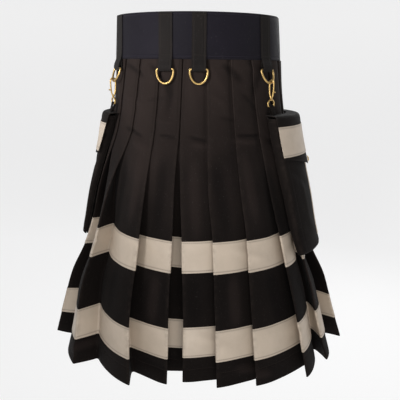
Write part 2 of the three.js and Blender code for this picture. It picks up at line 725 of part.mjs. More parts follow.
const tapeLow = CLOTH / 2 + GAP;
const tapeHigh = tapeLow + BAND_CLOTH;
add('band_upper_back', wall(UPPER_BAND, backRow, tapeLow, tapeHigh, 1), SILVER);
add('band_lower_back', wall(LOWER_BAND, backRow, tapeLow, tapeHigh, 1), SILVER);
add('band_upper_apron', wall(UPPER_BAND, overRow, tapeLow, tapeHigh), SILVER);
add('band_lower_apron', wall(LOWER_BAND, overRow, tapeLow, tapeHigh), SILVER);

const hooks = {};
LOOPS.forEach((loop) => {
  add(`loop_${loop.name}`, loopGeometry(loop), BLACK);
  add(`ring_${loop.name}`, ringGeometry(loop), BRASS);
  if (loop.tilt > 0) {
    hooks[loop.name] = hookGeometry(loop);
    add(`hook_${loop.name}`, hooks[loop.name].geometry, BRASS);
    add(`strap_${loop.name}`, strapGeometry(hooks[loop.name], loop.angle), BLACK);
  }
});

POCKETS.forEach((pocket) => {
  add(`pocket_back_${pocket.name}`, pocketBack(pocket), BLACK);
  add(`pocket_front_${pocket.name}`, pocketFront(pocket), BLACK);
  add(`pocket_flap_${pocket.name}`, pocketFlap(pocket), BLACK);
  add(`pocket_flap_band_${pocket.name}`, pocketFlapBand(pocket), SILVER);
  add(`pocket_strip_${pocket.name}`, pocketStrip(pocket), SILVER);
  const z = FLAP.point + 9;
  const face = flapFace(pocket) - 0.3 + CLOTH / 2 + GAP + 0.2;
  const point = pocketPoint(pocket, 0, face, z);
  const across = pocketPoint(pocket, 1, face, z).sub(point);
  const outward = across.cross(pocketPoint(pocket, 0, face, z + 1).sub(point)).normalize();
  add(`pocket_snap_${pocket.name}`, snapGeometry(point, outward), BRASS);
});

// Two snaps close the free end of the waistband.
[18, -18].forEach((z, k) => {
  const s = OVER_EDGE[0] + 24;
  const point = place(z, s, BAND_FACE + GAP + 0.2);
  const outward = place(z, s, BAND_FACE + 2).sub(place(z, s, BAND_FACE + 1)).normalize();
  add(`waist_snap_${k + 1}`, snapGeometry(point, outward), BRASS);
});

export default kilt;
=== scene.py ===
"""A black utility kilt in its worn form, seen from its pleated back.

Panels of cotton twill hang from a stiff waistband, with two reflective bands, brass rings on cloth
loops and two cargo pockets on snap hooks. Tables are in millimetres, meshes in metres.
"""
from __future__ import annotations

import logging
import math
from dataclasses import dataclass, field
from enum import Enum
from typing import Sequence

import bpy
import numpy as np
from mathutils import Matrix, Vector


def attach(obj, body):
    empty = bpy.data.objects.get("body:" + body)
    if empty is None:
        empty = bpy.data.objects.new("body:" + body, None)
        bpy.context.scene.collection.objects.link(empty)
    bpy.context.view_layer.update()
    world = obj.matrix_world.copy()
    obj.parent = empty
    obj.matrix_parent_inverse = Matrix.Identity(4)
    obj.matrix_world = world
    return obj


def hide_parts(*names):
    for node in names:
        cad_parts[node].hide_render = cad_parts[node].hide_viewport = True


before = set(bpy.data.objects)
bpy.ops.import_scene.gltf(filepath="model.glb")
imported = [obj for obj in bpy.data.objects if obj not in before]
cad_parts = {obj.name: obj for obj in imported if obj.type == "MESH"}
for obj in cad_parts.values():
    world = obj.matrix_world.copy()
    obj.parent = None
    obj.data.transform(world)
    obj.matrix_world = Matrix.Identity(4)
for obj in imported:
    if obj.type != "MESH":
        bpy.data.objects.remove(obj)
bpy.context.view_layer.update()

log = logging.getLogger("kilt")
Array = np.ndarray
Colour = tuple[float, float, float]
Point = tuple[float, float, float]
Socket = bpy.types.NodeSocket
MM = 0.001

CENTRE_BACK = math.radians(-10)
SEAM, HEM = -36.8, -571.0
BANDS = {"upper": (-332.0, -384.0), "lower": (-476.0, -528.0)}
CLOTH = 1.2
GAP = 0.3
LAYER = 2.1
TUCK = 4.0
BAND_CLOTH = 1.0
TAPE_GAP, TAPE_CLOTH = 0.2, 0.6
HEM_TURN = (-549.0, -552.0)
BAND_ROWS = 20
SLACK = 6.0
STATIONS = (SEAM, -155, -240, -332, -476, HEM)


# Curves and grids.

def smooth(xs: Sequence[float], ys: Sequence[float], at: Array) -> Array:
    """Smooth value of a table's column. The slope at each row is the harmonic mean of the slopes
    beside it, so the curve never overshoots.

    Args:
        xs: The rows' heights, rising or falling.
        ys: The column.
        at: Where it is wanted.

    Returns:
        One value for each place.
    """
    order = np.argsort(xs)
    px, py = np.asarray(xs, float)[order], np.asarray(ys, float)[order]
    step = np.diff(px)
    rise = np.diff(py) / step
    product, total = rise[:-1] * rise[1:], rise[:-1] + rise[1:]
    inner = np.where(product > 0, 2 * product / np.where(total == 0, 1, total), 0)
    slope = np.concatenate([rise[:1], inner, rise[-1:]])
    x = np.clip(at, px[0], px[-1])
    i = np.clip(np.searchsorted(px, x) - 1, 0, len(px) - 2)
    t = (x - px[i]) / step[i]
    return ((1 + 2 * t) * (1 - t) ** 2 * py[i] + t * (1 - t) ** 2 * step[i] * slope[i]
            + t * t * (3 - 2 * t) * py[i + 1] + t * t * (t - 1) * step[i] * slope[i + 1])


def ease(low: float, high: float, x: Array) -> Array:
    """Smooth step from 0 at low to 1 at high."""
    t = np.clip((np.asarray(x, float) - low) / (high - low), 0, 1)
    return t * t * (3 - 2 * t)


def curved(points: Array, count: int, closed: bool = False) -> Array:
    """A Catmull-Rom curve through points, its parameter following the root of each chord.

    Args:
        points: The points, one a row.
        count: How many points the curve gets.
        closed: Whether it comes back to its start.

    Returns:
        Points evenly spread along the curve's length.
    """
    p = np.asarray(points, float)
    if closed:
        p = np.concatenate([p[-1:], p, p[:2]])
    else:
        p = np.concatenate([2 * p[:1] - p[1:2], p, 2 * p[-1:] - p[-2:-1]])
    chords = np.linalg.norm(np.diff(p, axis=0), axis=1)
    knots = np.concatenate([[0], np.cumsum(np.sqrt(chords) + 1e-9)])
    u = np.linspace(0, 1, 24, endpoint=False)
    parts = []
    for i in range(1, len(p) - 2):
        t0, t1, t2, t3 = knots[i - 1:i + 3]
        t = (t1 + (t2 - t1) * u)[:, None]
        a = (t1 - t) / (t1 - t0) * p[i - 1] + (t - t0) / (t1 - t0) * p[i]
        b = (t2 - t) / (t2 - t1) * p[i] + (t - t1) / (t2 - t1) * p[i + 1]
        c = (t3 - t) / (t3 - t2) * p[i + 1] + (t - t2) / (t3 - t2) * p[i + 2]
        d = (t2 - t) / (t2 - t0) * a + (t - t0) / (t2 - t0) * b
        e = (t3 - t) / (t3 - t1) * b + (t - t1) / (t3 - t1) * c
        parts.append((t2 - t) / (t2 - t1) * d + (t - t1) / (t2 - t1) * e)
    line = np.concatenate([*parts, p[-2:-1]])
    run = np.concatenate([[0], np.cumsum(np.linalg.norm(np.diff(line, axis=0), axis=1))])
    wanted = np.linspace(0, run[-1], count, endpoint=not closed)
    return np.stack([np.interp(wanted, run, line[:, k]) for k in range(p.shape[1])], -1)


def unit(v: Array) -> Array:
    """Vectors scaled to length one."""
    return v / np.maximum(np.linalg.norm(v, axis=-1, keepdims=True), 1e-12)


def spread(column: Array, count: int) -> Array:
    """A grid of so many columns, all the same column of values."""
    return np.asarray(column, float)[:, None] * np.ones(count)[None]


def grid_normals(grid: Array) -> Array:
    """Normals of a grid of points, from the cross product of its two gradients. They point out of
    the kilt where columns run to the right and rows run down."""
    return unit(np.cross(np.gradient(grid, axis=0), np.gradient(grid, axis=1)))


def run_lengths(grid: Array, axis: int) -> Array:
    """Length from the first row or column of a grid to each of its points, as a running sum.

    Args:
        grid: The points, rows by columns.
        axis: 0 to go down the columns, 1 to go along the rows.

    Returns:
        One length for each point.
    """
    steps = np.linalg.norm(np.diff(grid, axis=axis), axis=-1)
    pad = [(0, 0), (0, 0)]
    pad[axis] = (1, 0)
    return np.cumsum(np.pad(steps, pad), axis=axis)


# The form of the kilt.

@dataclass(frozen=True)
class Crease:
    """A soft crease from one place to another, by distance round from the centre back and height,
    with its half-width and how far it stands out or, where negative, sinks in."""

    start: tuple[float, float]
    end: tuple[float, float]
    width: float
    rise: float

    def at(self, s: Array, z: Array) -> Array:
        """Rise at each place: a bell curve across the crease that fades out at its two ends.

        Args:
            s: Distances round.
            z: Heights.

        Returns:
            How far the cloth moves out.
        """
        a, b = np.array(self.start), np.array(self.end)
        along = b - a
        length = float(np.hypot(*along))
        t = ((s - a[0]) * along[0] + (z - a[1]) * along[1]) / length ** 2
        away = ((s - a[0]) * along[1] - (z - a[1]) * along[0]) / length
        fade = ease(-0.25, 0.3, t) * ease(-0.25, 0.3, 1 - t)
        return self.rise * np.exp(-(away / self.width) ** 2) * fade


DRAPE = (
    # drags under the waistband and over the hips of the back
    Crease((-122, -38), (-60, -66), 7, -1.8), Crease((-98, -38), (-36, -78), 6, 1.4),
    Crease((-60, -38), (-20, -92), 6, -1.6), Crease((36, -38), (66, -84), 6, 1.6),
    Crease((62, -40), (100, -72), 7, -1.8), Crease((92, -40), (130, -58), 6, 1.6),
    Crease((142, -40), (120, -96), 8, -1.6), Crease((-150, -42), (-134, -104), 7, 1.6),
    Crease((8, -52), (22, -120), 6, 1.2), Crease((-16, -60), (-26, -128), 6, -1.4),
    Crease((-118, -96), (-70, -112), 4.5, 1.3), Crease((-64, -104), (-30, -98), 4, -1.2),
    Crease((44, -92), (74, -112), 5, 1.2), Crease((96, -88), (132, -120), 5.5, -1.3),
    Crease((-52, -134), (-14, -139), 4, 1.2), Crease((60, -128), (92, -136), 4.5, -1.1),
    # small breaks where the stitched part of the pleats ends
    Crease((88, -157), (142, -161), 3.2, -2.4), Crease((84, -165), (132, -170), 5, 1.8),
    Crease((12, -160), (42, -167), 3.4, -2.2), Crease((16, -171), (50, -176), 5, 1.6),
    Crease((-40, -158), (-8, -162), 3.4, -1.8), Crease((-112, -150), (-70, -163), 4, -2.0),
    Crease((-96, -172), (-58, -182), 6, 1.6), Crease((150, -168), (186, -178), 6, -1.6),
    # long soft folds down the open pleats
    Crease((20, -190), (34, -330), 11, 1.76), Crease((58, -200), (84, -322), 12, -2.03),
    Crease((104, -186), (136, -300), 10, 2.16), Crease((150, -210), (196, -330), 13, -2.16),
    Crease((-30, -196), (-40, -320), 12, -1.89), Crease((-70, -184), (-92, -310), 10, 2.03),
    Crease((-112, -204), (-150, -330), 12, -2.29), Crease((-168, -190), (-222, -330), 12, 1.89),
    Crease((30, -390), (40, -470), 13, -2.03), Crease((100, -388), (112, -474), 12, 2.03),
    Crease((172, -392), (196, -474), 14, -2.43), Crease((250, -388), (290, -474), 12, 2.16),
    Crease((-34, -390), (-40, -474), 13, 1.89), Crease((-120, -388), (-128, -474), 12, -2.16),
    Crease((-214, -390), (-240, -474), 14, 2.43), Crease((-300, -388), (-360, -474), 13, -2.16),
    # shallow diagonal breaks across the bands and the hem
    Crease((-190, -352), (-120, -372), 6, -1.65), Crease((96, -346), (158, -366), 6, 1.5),
    Crease((-66, -340), (-16, -356), 5, 1.2), Crease((200, -356), (262, -344), 6, -1.5),
    Crease((40, -490), (96, -508), 8, 1.65), Crease((-150, -492), (-84, -514), 8, -1.8),
    Crease((206, -498), (270, -486), 8, 1.8), Crease((-300, -506), (-236, -490), 8, 1.65),
    Crease((-56, -540), (2, -552), 9, -1.8), Crease((110, -544), (176, -556), 9, 1.8),
    Crease((-220, -548), (-160, -536), 9, 1.8), Crease((290, -540), (350, -552), 10, -1.8),
    # aprons, on the hidden side
    Crease((300, -60), (352, -150), 12, 1.2), Crease((-300, -62), (-352, -160), 12, -1.3),
    Crease((392, -52), (386, -180), 14, -1.1), Crease((430, -90), (452, -260), 16, 1.5),
    Crease((-420, -100), (-446, -250), 15, 1.4), Crease((360, -196), (402, -330), 15, -1.6),
    Crease((-372, -206), (-424, -330), 14, -1.5), Crease((480, -250), (520, -330), 16, -1.4),
    Crease((-520, -392), (-560, -474), 16, 1.7), Crease((500, -392), (540, -474), 16, 1.8),
    Crease((560, -400), (620, -474), 18, -1.7), Crease((-600, -396), (-640, -474), 17, -1.6),
    Crease((420, -344), (500, -368), 9, 1.2), Crease((-480, -350), (-420, -366), 8, -1.2),
    Crease((560, -540), (640, -554), 12, 1.4), Crease((-640, -548), (-560, -536), 12, -1.4),
)


class Form:
    """The body of the kilt: at each height a closed curve of two half ellipses, with its distances
    measured round from the centre back."""

    LOWEST, HIGHEST, STEP = -584.0, 60.0, 2.0
    PARTS = 1440
    WAVE = 1.5
    LEVELS = (
        # height, half-width, shift to the right, depth to the back, depth to the front
        (36.5, 141.5, -4, 124, 124), (-36.8, 147, -1.5, 124, 124), (-80, 149.5, -1, 126, 127),
        (-155, 159, 0, 138, 137), (-215, 172, 0, 147, 144), (-270, 187, 0, 152, 150),
        (-332, 203, 0, 158, 156), (-384, 221, 0, 170, 162), (-437, 246, 1, 181, 168),
        (-500, 264, 2, 192, 176), (-571, 284, 3.5, 203, 185),
    )

    def __init__(self) -> None:
        """Works out the curve's tables at each step of height."""
        columns = list(zip(*self.LEVELS))
        self.z = np.arange(self.LOWEST, self.HIGHEST + self.STEP / 2, self.STEP)
        self.side, self.shift, self.back, self.front = (
            smooth(columns[0], column, self.z) for column in columns[1:])
        self.t = CENTRE_BACK + np.linspace(-math.pi, math.pi, self.PARTS + 1)
        c = np.cos(self.t)[None]
        x = self.side[:, None] * np.sin(self.t)[None]
        y = -np.where(c > 0, self.back[:, None], self.front[:, None]) * c
        steps = np.hypot(np.diff(x, axis=1), np.diff(y, axis=1))
        arcs = np.concatenate([np.zeros((len(self.z), 1)), np.cumsum(steps, axis=1)], axis=1)
        self.length = arcs[:, -1]
        self.middle = arcs[:, self.PARTS // 2]
        self.part = arcs / self.length[:, None]
        even = np.linspace(0, 1, self.PARTS + 1)
        self.angles = np.stack([np.interp(even, row, self.t) for row in self.part])

    def _at_height(self, column: Array, z: Array) -> Array:
        """Value of a table's column at heights."""
        return np.interp(z, self.z, column)

    def _look_up(self, table: Array, z: Array, part: Array) -> Array:
        """Value of a table of heights by parts round the curve, from its four nearest entries.

        Args:
            table: The table.
            z: Heights.
            part: Parts of the way round.

        Returns:
            One value for each place.
        """
        r = np.clip((z - self.z[0]) / self.STEP, 0, len(self.z) - 1.001)
        c = np.clip(part * self.PARTS, 0, self.PARTS - 0.001)
        r0, c0 = r.astype(int), c.astype(int)
        fr, fc = r - r0, c - c0
        low = table[r0, c0] * (1 - fc) + table[r0, c0 + 1] * fc
        high = table[r0 + 1, c0] * (1 - fc) + table[r0 + 1, c0 + 1] * fc
        return low * (1 - fr) + high * fr

    def round_length(self, z: Array) -> Array:
        """Length of the whole curve at heights."""
        return self._at_height(self.length, z)

    def _near(self, s: Array, z: Array) -> Array:
        """Distances round brought to within half a turn of the centre back."""
        length = self.round_length(z)
        return (s + length / 2) % length - length / 2

    def drape(self, s: Array, z: Array) -> Array:
        """How far the creases and slow waves of the hanging cloth move it in or out. All layers of
        a pleat move together, so none passes through another.

        Args:
            s: Distances round.
            z: Heights.

        Returns:
            How far each place moves out.
        """
        near = self._near(s, z)
        waves = np.sin(near / 47 + z / 170) + 0.5 * np.sin(near / 23 - z / 97 + 1.3)
        return self.WAVE * ease(-60, -420, z) * waves + self.creased(s, z)

    def creased(self, s: Array, z: Array) -> Array:
        """How far the creases alone move the cloth: ridges above 0, furrows below, and nothing at
        the waist seam."""
        near = self._near(s, z)
        return ease(-37, -50, z) * sum(crease.at(near, z) for crease in DRAPE)

    def at_angle(self, t: Array, out: Array, z: Array) -> Array:
        """Points at angles of the form, moved out along its normal.

        Args:
            t: Angles from the back, in radians.
            out: Distances out from the form.
            z: Heights.

        Returns:
            Points in millimetres.
        """
        c = np.cos(t)
        side = self._at_height(self.side, z)
        depth = np.where(c > 0, self._at_height(self.back, z), self._at_height(self.front, z))
        nx, ny = np.sin(t) / side, -c / depth
        k = np.hypot(nx, ny)
        x = self._at_height(self.shift, z) + side * np.sin(t) + out * nx / k
        return np.stack([x, -depth * c + out * ny / k, z], -1)

    def place(self, s: Array, out: Array, z: Array) -> Array:
        """Points at distances round the form from the centre back, moved out.

        Args:
            s: Distances to the right of the centre back.
            out: Distances out from the form.
            z: Heights.

        Returns:
            Points in millimetres.
        """
        s, out, z = np.broadcast_arrays(*(np.asarray(v, float) for v in (s, out, z)))
        length, middle = self.round_length(z), self._at_height(self.middle, z)
        part = ((s + middle) / length) % 1.0
        return self.at_angle(self._look_up(self.angles, z, part), out, z)

    def arc(self, z: Array, degrees: Array) -> Array:
        """Distance round from the centre back at angles of the form.

        Args:
            z: Heights.
            degrees: Angles from the back.

        Returns:
            One distance for each.
        """
        turn = (np.radians(degrees) - self.t[0]) % (2 * math.pi) / (2 * math.pi)
        part = self._look_up(self.part, np.asarray(z, float), turn)
        return part * self.round_length(z) - self._at_height(self.middle, z)


FORM = Form()


# Meshes.

@dataclass
class Shell:
    """Points and faces of one closed surface, with a flat place and named values for each point."""

    points: Array
    quads: Array
    flat: Array
    values: dict[str, Array] = field(default_factory=dict)

    def outward(self) -> "Shell":
        """The same surface with its faces pointing outwards, by the sign of its volume."""
        a, b, c, d = (self.points[self.quads[:, k]] for k in range(4))
        volume = np.einsum("ij,ij->", a, np.cross(b, c)) + np.einsum("ij,ij->", a, np.cross(c, d))
        if volume < 0:
            self.quads = self.quads[:, ::-1]
        return self


def quads_of(a: Array, b: Array, c: Array, d: Array) -> Array:
    """Quads from four arrays of point numbers, one for each corner."""
    return np.stack([a.ravel(), b.ravel(), c.ravel(), d.ravel()], -1)


def between(outer: Array, inner: Array, flat: Array, values: dict[str, Array] | None = None
            ) -> Shell:
    """A closed wall between two grids of points that share their edges.

    Args:
        outer: Points of the outer side, rows by columns.
        inner: Points of the inner side.
        flat: Place of each point on the flat cloth.
        values: Named values of each point.

    Returns:
        The wall.
    """
    rows, cols = outer.shape[:2]
    index = np.arange(rows * cols).reshape(rows, cols)
    deep = index + rows * cols

    faces = [
        quads_of(index[:-1, :-1], index[1:, :-1], index[1:, 1:], index[:-1, 1:]),
        quads_of(deep[:-1, :-1], deep[:-1, 1:], deep[1:, 1:], deep[1:, :-1]),
        quads_of(index[:-1, 0], deep[:-1, 0], deep[1:, 0], index[1:, 0]),
        quads_of(index[:-1, -1], index[1:, -1], deep[1:, -1], deep[:-1, -1]),
        quads_of(index[0, :-1], index[0, 1:], deep[0, 1:], deep[0, :-1]),
        quads_of(index[-1, :-1], deep[-1, :-1], deep[-1, 1:], index[-1, 1:]),
    ]
    both = {name: np.concatenate([v.ravel(), v.ravel()]) for name, v in (values or {}).items()}
    points = np.concatenate([outer.reshape(-1, 3), inner.reshape(-1, 3)])
    places = np.concatenate([flat.reshape(-1, 2)] * 2)
    return Shell(points, np.concatenate(faces), places, both).outward()


def hoops(rows: Array) -> Array:
    """Quads between each ring of point numbers and the next."""
    side = np.roll(rows, -1, 1)
    return quads_of(rows[:-1], side[:-1], side[1:], rows[1:])


def tube(line: Array, radius: Array | float, sides: int, up: Array) -> Shell:
    """A round tube along a closed line that lies in a plane: circles across it, in the plane's
    normal and the line's own.

    Args:
        line: Points of the middle of the tube.
        radius: One radius, or one for each point.
        sides: Points in each circle.
        up: The plane's normal.

    Returns:
        The tube.
    """
    along = unit(np.roll(line, -1, 0) - np.roll(line, 1, 0))
    aside = unit(np.cross(up[None], along))
    over = unit(np.cross(along, aside))
    a = np.linspace(0, 2 * math.pi, sides, endpoint=False)
    r = np.broadcast_to(np.asarray(radius, float), (len(line),))[:, None, None]
    ring = aside[:, None] * np.cos(a)[None, :, None] + over[:, None] * np.sin(a)[None, :, None]
    grid = line[:, None] + ring * r
    index = np.arange(len(line) * sides).reshape(-1, sides)
    flat = np.stack([spread(np.arange(len(line)), sides), np.tile(a, (len(line), 1))], -1)
    quads = hoops(np.concatenate([index, index[:1]]))
    return Shell(grid.reshape(-1, 3), quads, flat.reshape(-1, 2)).outward()


def turned(profile: Sequence[tuple[float, float]], base: Array, axis: Array, sides: int) -> Shell:
    """A solid of revolution: each (radius, height) of the profile carried round the axis.

    Args:
        profile: Radii and heights from the foot to the top.
        base: Where the axis starts.
        axis: Its direction.
        sides: Points in each circle.

    Returns:
        The solid, with its two ends closed.
    """
    axis = unit(np.asarray(axis, float))
    helper = np.array([0.0, 0, 1]) if abs(axis[2]) < 0.9 else np.array([1.0, 0, 0])
    u = unit(np.cross(helper, axis))
    v = np.cross(axis, u)
    a = np.linspace(0, 2 * math.pi, sides, endpoint=False)
    radius, height = np.array(profile, float).T[..., None, None]
    circle = u * np.cos(a)[:, None] + v * np.sin(a)[:, None]
    grid = base + height * axis + np.maximum(radius, 0.02) * circle[None]
    index = np.arange(len(profile) * sides).reshape(-1, sides)
    k = np.arange(sides // 2 - 1)
    foot, top = (quads_of(end[k], end[k + 1], end[sides - 2 - k], end[sides - 1 - k])
                 for end in (index[0], index[-1]))
    quads = np.concatenate([hoops(index), foot[:, ::-1], top])
    return Shell(grid.reshape(-1, 3), quads, np.zeros((index.size, 2))).outward()


def make_piece(name: str, shells: Sequence[Shell], material: bpy.types.Material,
               corner: float = 48) -> bpy.types.Object:
    """One object of one or more shells, in metres, with its flat places as a UV map and its named
    values as attributes.

    Args:
        name: The piece's name.
        shells: Its surfaces.
        material: Its finish.
        corner: Edges that turn by more than this angle stay sharp, in degrees.

    Returns:
        The object, at the origin.
    """
    starts = np.cumsum([0] + [len(shell.points) for shell in shells])
    points = np.concatenate([shell.points for shell in shells]) * MM
    quads = np.concatenate([shell.quads + start for shell, start in zip(shells, starts)])
    mesh = bpy.data.meshes.new(name)
    mesh.vertices.add(len(points))
    mesh.vertices.foreach_set("co", points.astype(np.float32).ravel())
    mesh.loops.add(quads.size)
    mesh.loops.foreach_set("vertex_index", quads.astype(np.int32).ravel())
    mesh.polygons.add(len(quads))
    mesh.polygons.foreach_set("loop_start", np.arange(0, quads.size, 4, dtype=np.int32))
    mesh.update(calc_edges=True)
    mesh.validate()
    mesh.polygons.foreach_set("use_smooth", np.ones(len(mesh.polygons), bool))
    corners = np.zeros(len(mesh.loops), np.int32)
    mesh.loops.foreach_get("vertex_index", corners)
    flat = np.concatenate([shell.flat for shell in shells]) * MM
    layer = mesh.uv_layers.new(name="flat")
    layer.data.foreach_set("uv", flat[corners].astype(np.float32).ravel())
    for key in {key for shell in shells for key in shell.values}:
        row = [shell.values.get(key, np.zeros(len(shell.points))) for shell in shells]
        attribute = mesh.attributes.new(key, "FLOAT", "POINT")
        attribute.data.foreach_set("value", np.concatenate(row).astype(np.float32))
    mesh.set_sharp_from_angle(angle=math.radians(corner))
    mesh.materials.append(material)
    piece = bpy.data.objects.new(name, mesh)
    bpy.context.scene.collection.objects.link(piece)
    return piece


def cloth_shell(grid: Array, low: Array | float, high: Array | float,
                values: dict[str, Array] | None = None) -> Shell:
    """Cloth between two distances from a grid of points, moved along the grid's normals. Its flat
    place is the length along its rows and down its columns.

    Args:
        grid: The points, rows by columns.
        low: How far the inner side stands out from them.
        high: How far the outer side does.
        values: Named values of each point.

    Returns:
        The cloth.
    """
    normal = grid_normals(grid)

    def moved(by: Array | float) -> Array:
        """The grid moved along its normals."""
        return grid + normal * np.broadcast_to(np.asarray(by, float), grid.shape[:2])[..., None]

    flat = np.stack([run_lengths(grid, 1), -run_lengths(grid, 0)], -1)
    return between(moved(high), moved(low), flat, values)


def tape_shell(grid: Array, values: dict[str, Array] | None = None, gap: float = 0.0) -> Shell:
    """Tape sewn flat on cloth.

    Args:
        grid: The cloth's middle surface.
        values: Named values of each point.
        gap: How much more than TAPE_GAP it stands off.

    Returns:
        The tape.
    """
    low = CLOTH / 2 + TAPE_GAP + gap
    return cloth_shell(grid, low, low + TAPE_CLOTH, values)


class Held(Enum):
    HUNG = "hung"
    LAID = "laid"
    FOLDED = "folded"
    STRETCHED = "stretched"


# Finishes.

class Nodes:
    """Adds nodes to one tree and links them."""

    def __init__(self, tree: bpy.types.NodeTree) -> None:
        """Keeps the tree."""
        self.tree = tree

    def add(self, kind: str, inputs: dict[str | int, object] | None = None,
            **settings: object) -> bpy.types.Node:
        """Adds a node.

        Args:
            kind: Its type.
            inputs: Its inputs, each a constant or an output that it is linked to.
            **settings: Its other settings.

        Returns:
            The node.
        """
        node = self.tree.nodes.new(kind)
        for key, value in settings.items():
            setattr(node, key, value)
        for key, value in (inputs or {}).items():
            if isinstance(value, Socket):
                self.tree.links.new(value, node.inputs[key])
            else:
                node.inputs[key].default_value = value
        return node

    def math(self, operation: str, *terms: object) -> Socket:
        """Result of one operation on numbers or outputs."""
        return self.add("ShaderNodeMath", dict(enumerate(terms)), operation=operation).outputs[0]

    def between(self, value: Socket, low: float, high: float) -> Socket:
        """Smooth step from 0 at low to 1 at high."""
        node = self.add("ShaderNodeMapRange", {"Value": value, "From Min": low, "From Max": high},
                        interpolation_type="SMOOTHSTEP")
        return node.outputs["Result"]

    def mix(self, factor: object, first: object, second: object) -> Socket:
        """Two colours mixed."""
        node = self.add("ShaderNodeMix", {0: factor, 6: first, 7: second}, data_type="RGBA")
        return node.outputs[2]

    def tint(self, colour: object, mask: Socket, share: float, towards: Colour) -> Socket:
        """A colour mixed towards another by a share of a mask."""
        return self.mix(self.math("MULTIPLY", mask, share), colour, (*towards, 1))

    def noise(self, where: Socket, scale: float, detail: float = 3, rough: float = 0.55) -> Socket:
        """Noise about 0.5 at a scale in waves to the metre."""
        values = {"Vector": where, "Scale": scale, "Detail": detail, "Roughness": rough}
        return self.add("ShaderNodeTexNoise", values).outputs["Fac"]

    def value(self, name: str) -> Socket:
        """One of the mesh's named values."""
        return self.add("ShaderNodeAttribute", attribute_name=name).outputs["Fac"]

    def parts(self, vector: Socket) -> Sequence[Socket]:
        """A vector's three parts."""
        return self.add("ShaderNodeSeparateXYZ", {0: vector}).outputs

    def group(self, name: str, inputs: dict[str, object]) -> bpy.types.Node:
        """One of the shared groups with its inputs."""
        return self.add("ShaderNodeGroup", inputs, node_tree=GROUPS[name])

    def dress(self, shader: bpy.types.Node, colour: Socket, rough: Socket, height: Socket,
              strength: float) -> None:
        """Links a finish's surface to its shader.

        Args:
            shader: The shader.
            colour: The colour.
            rough: The roughness.
            height: The relief, in metres.
            strength: How strongly the relief shows.
        """
        relief = {"Height": height, "Strength": strength, "Distance": 1.0}
        normal = self.add("ShaderNodeBump", relief).outputs[0]
        for key, value in (("Base Color", colour), ("Roughness", rough), ("Normal", normal)):
            self.tree.links.new(value, shader.inputs[key])


def new_group(name: str, vectors: Sequence[str], numbers: dict[str, float], results: Sequence[str]
              ) -> tuple[Nodes, Sequence[Socket], Sequence[Socket]]:
    """An empty shader node group with named sockets.

    Args:
        name: The group's name.
        vectors: Names of its vector inputs.
        numbers: Its other inputs with their default values.
        results: Names of its outputs.

    Returns:
        The group's node maker, the values it is given and the sockets that take its results.
    """
    tree = bpy.data.node_groups.new(name, "ShaderNodeTree")
    for key in vectors:
        tree.interface.new_socket(key, in_out="INPUT", socket_type="NodeSocketVector")
    for key, value in numbers.items():
        socket = tree.interface.new_socket(key, in_out="INPUT", socket_type="NodeSocketFloat")
        socket.default_value = value
    for key in results:
        tree.interface.new_socket(key, in_out="OUTPUT", socket_type="NodeSocketFloat")
    nodes = Nodes(tree)
    return nodes, nodes.add("NodeGroupInput").outputs, nodes.add("NodeGroupOutput").inputs


def twill_group() -> bpy.types.NodeTree:
    """Twill weave: ribs on a slant as a sine of the sum of the two flat places, broken into threads
    by a second sine across them and made uneven by noise.

    Returns:
        The group.
    """
    n, given, result = new_group("twill", ["Flat"], {"Pitch": 0.0011}, ["Height", "Rib"])
    width, length = n.parts(given["Flat"])[:2]
    turn = n.math("DIVIDE", 2 * math.pi, given["Pitch"])
    wander = n.math("MULTIPLY", n.noise(given["Flat"], 90, 2), 0.0006)
    slant = n.math("MULTIPLY", n.math("ADD", n.math("ADD", width, length), wander), turn)
    rib = n.math("MULTIPLY_ADD", n.math("SINE", slant), 0.5, 0.5)
    back = n.math("MULTIPLY", n.math("SUBTRACT", width, length), turn)
    thread = n.math("MULTIPLY_ADD", n.math("SINE", back), 0.18, 0.82)
    n.tree.links.new(n.math("MULTIPLY", rib, thread), result["Height"])
    n.tree.links.new(rib, result["Rib"])
    return n.tree


def stitch_group() -> bpy.types.NodeTree:
    """One row of stitches: dashes along a line where the distance across from the line is less than
    half a thread, with a soft dip in the cloth about them.

    Returns:
        The group.
    """
    numbers = {"Across": 0, "Along": 0, "Line": 0, "Thread": 0.00075, "Stitch": 0.0033}
    n, given, result = new_group("stitch_row", [], numbers, ["Thread", "Dip"])
    away = n.math("ABSOLUTE", n.math("SUBTRACT", given["Across"], given["Line"]))
    close = n.math("DIVIDE", away, given["Thread"])
    part = n.math("FRACT", n.math("DIVIDE", given["Along"], given["Stitch"]))
    dash = n.between(n.math("ABSOLUTE", n.math("SUBTRACT", part, 0.5)), 0.42, 0.34)
    n.tree.links.new(n.math("MULTIPLY", n.between(close, 0.75, 0.45), dash), result["Thread"])
    n.tree.links.new(n.between(close, 3.2, 0.3), result["Dip"])
    return n.tree


def wear_group() -> bpy.types.NodeTree:
    """Wear and dust: large patches, fine specks and rubbed edges, each from noise.

    Returns:
        The group.
    """
    n, given, result = new_group("wear", ["Where"], {"Edge": 0}, ["Patch", "Speck", "Rubbed"])
    where = given["Where"]
    uneven = n.between(n.noise(where, 110, 4), 0.3, 0.75)
    n.tree.links.new(n.between(n.noise(where, 9, 4), 0.3, 0.72), result["Patch"])
    n.tree.links.new(n.between(n.noise(where, 640, 1), 0.7, 0.78), result["Speck"])
    n.tree.links.new(n.math("MULTIPLY", given["Edge"], uneven), result["Rubbed"])
    return n.tree


class Axis(Enum):
    """Which flat place, or attribute, a stitch row is measured across."""

    ACROSS = "across"
    DOWN = "down"
    FOLD = "fold"


@dataclass(frozen=True)
class StitchRow:
    """One row of stitches: what it is measured across, where its line lies in metres and, where it
    ends, the height in metres that it stays above."""

    axis: Axis
    line: float
    above: float | None = None


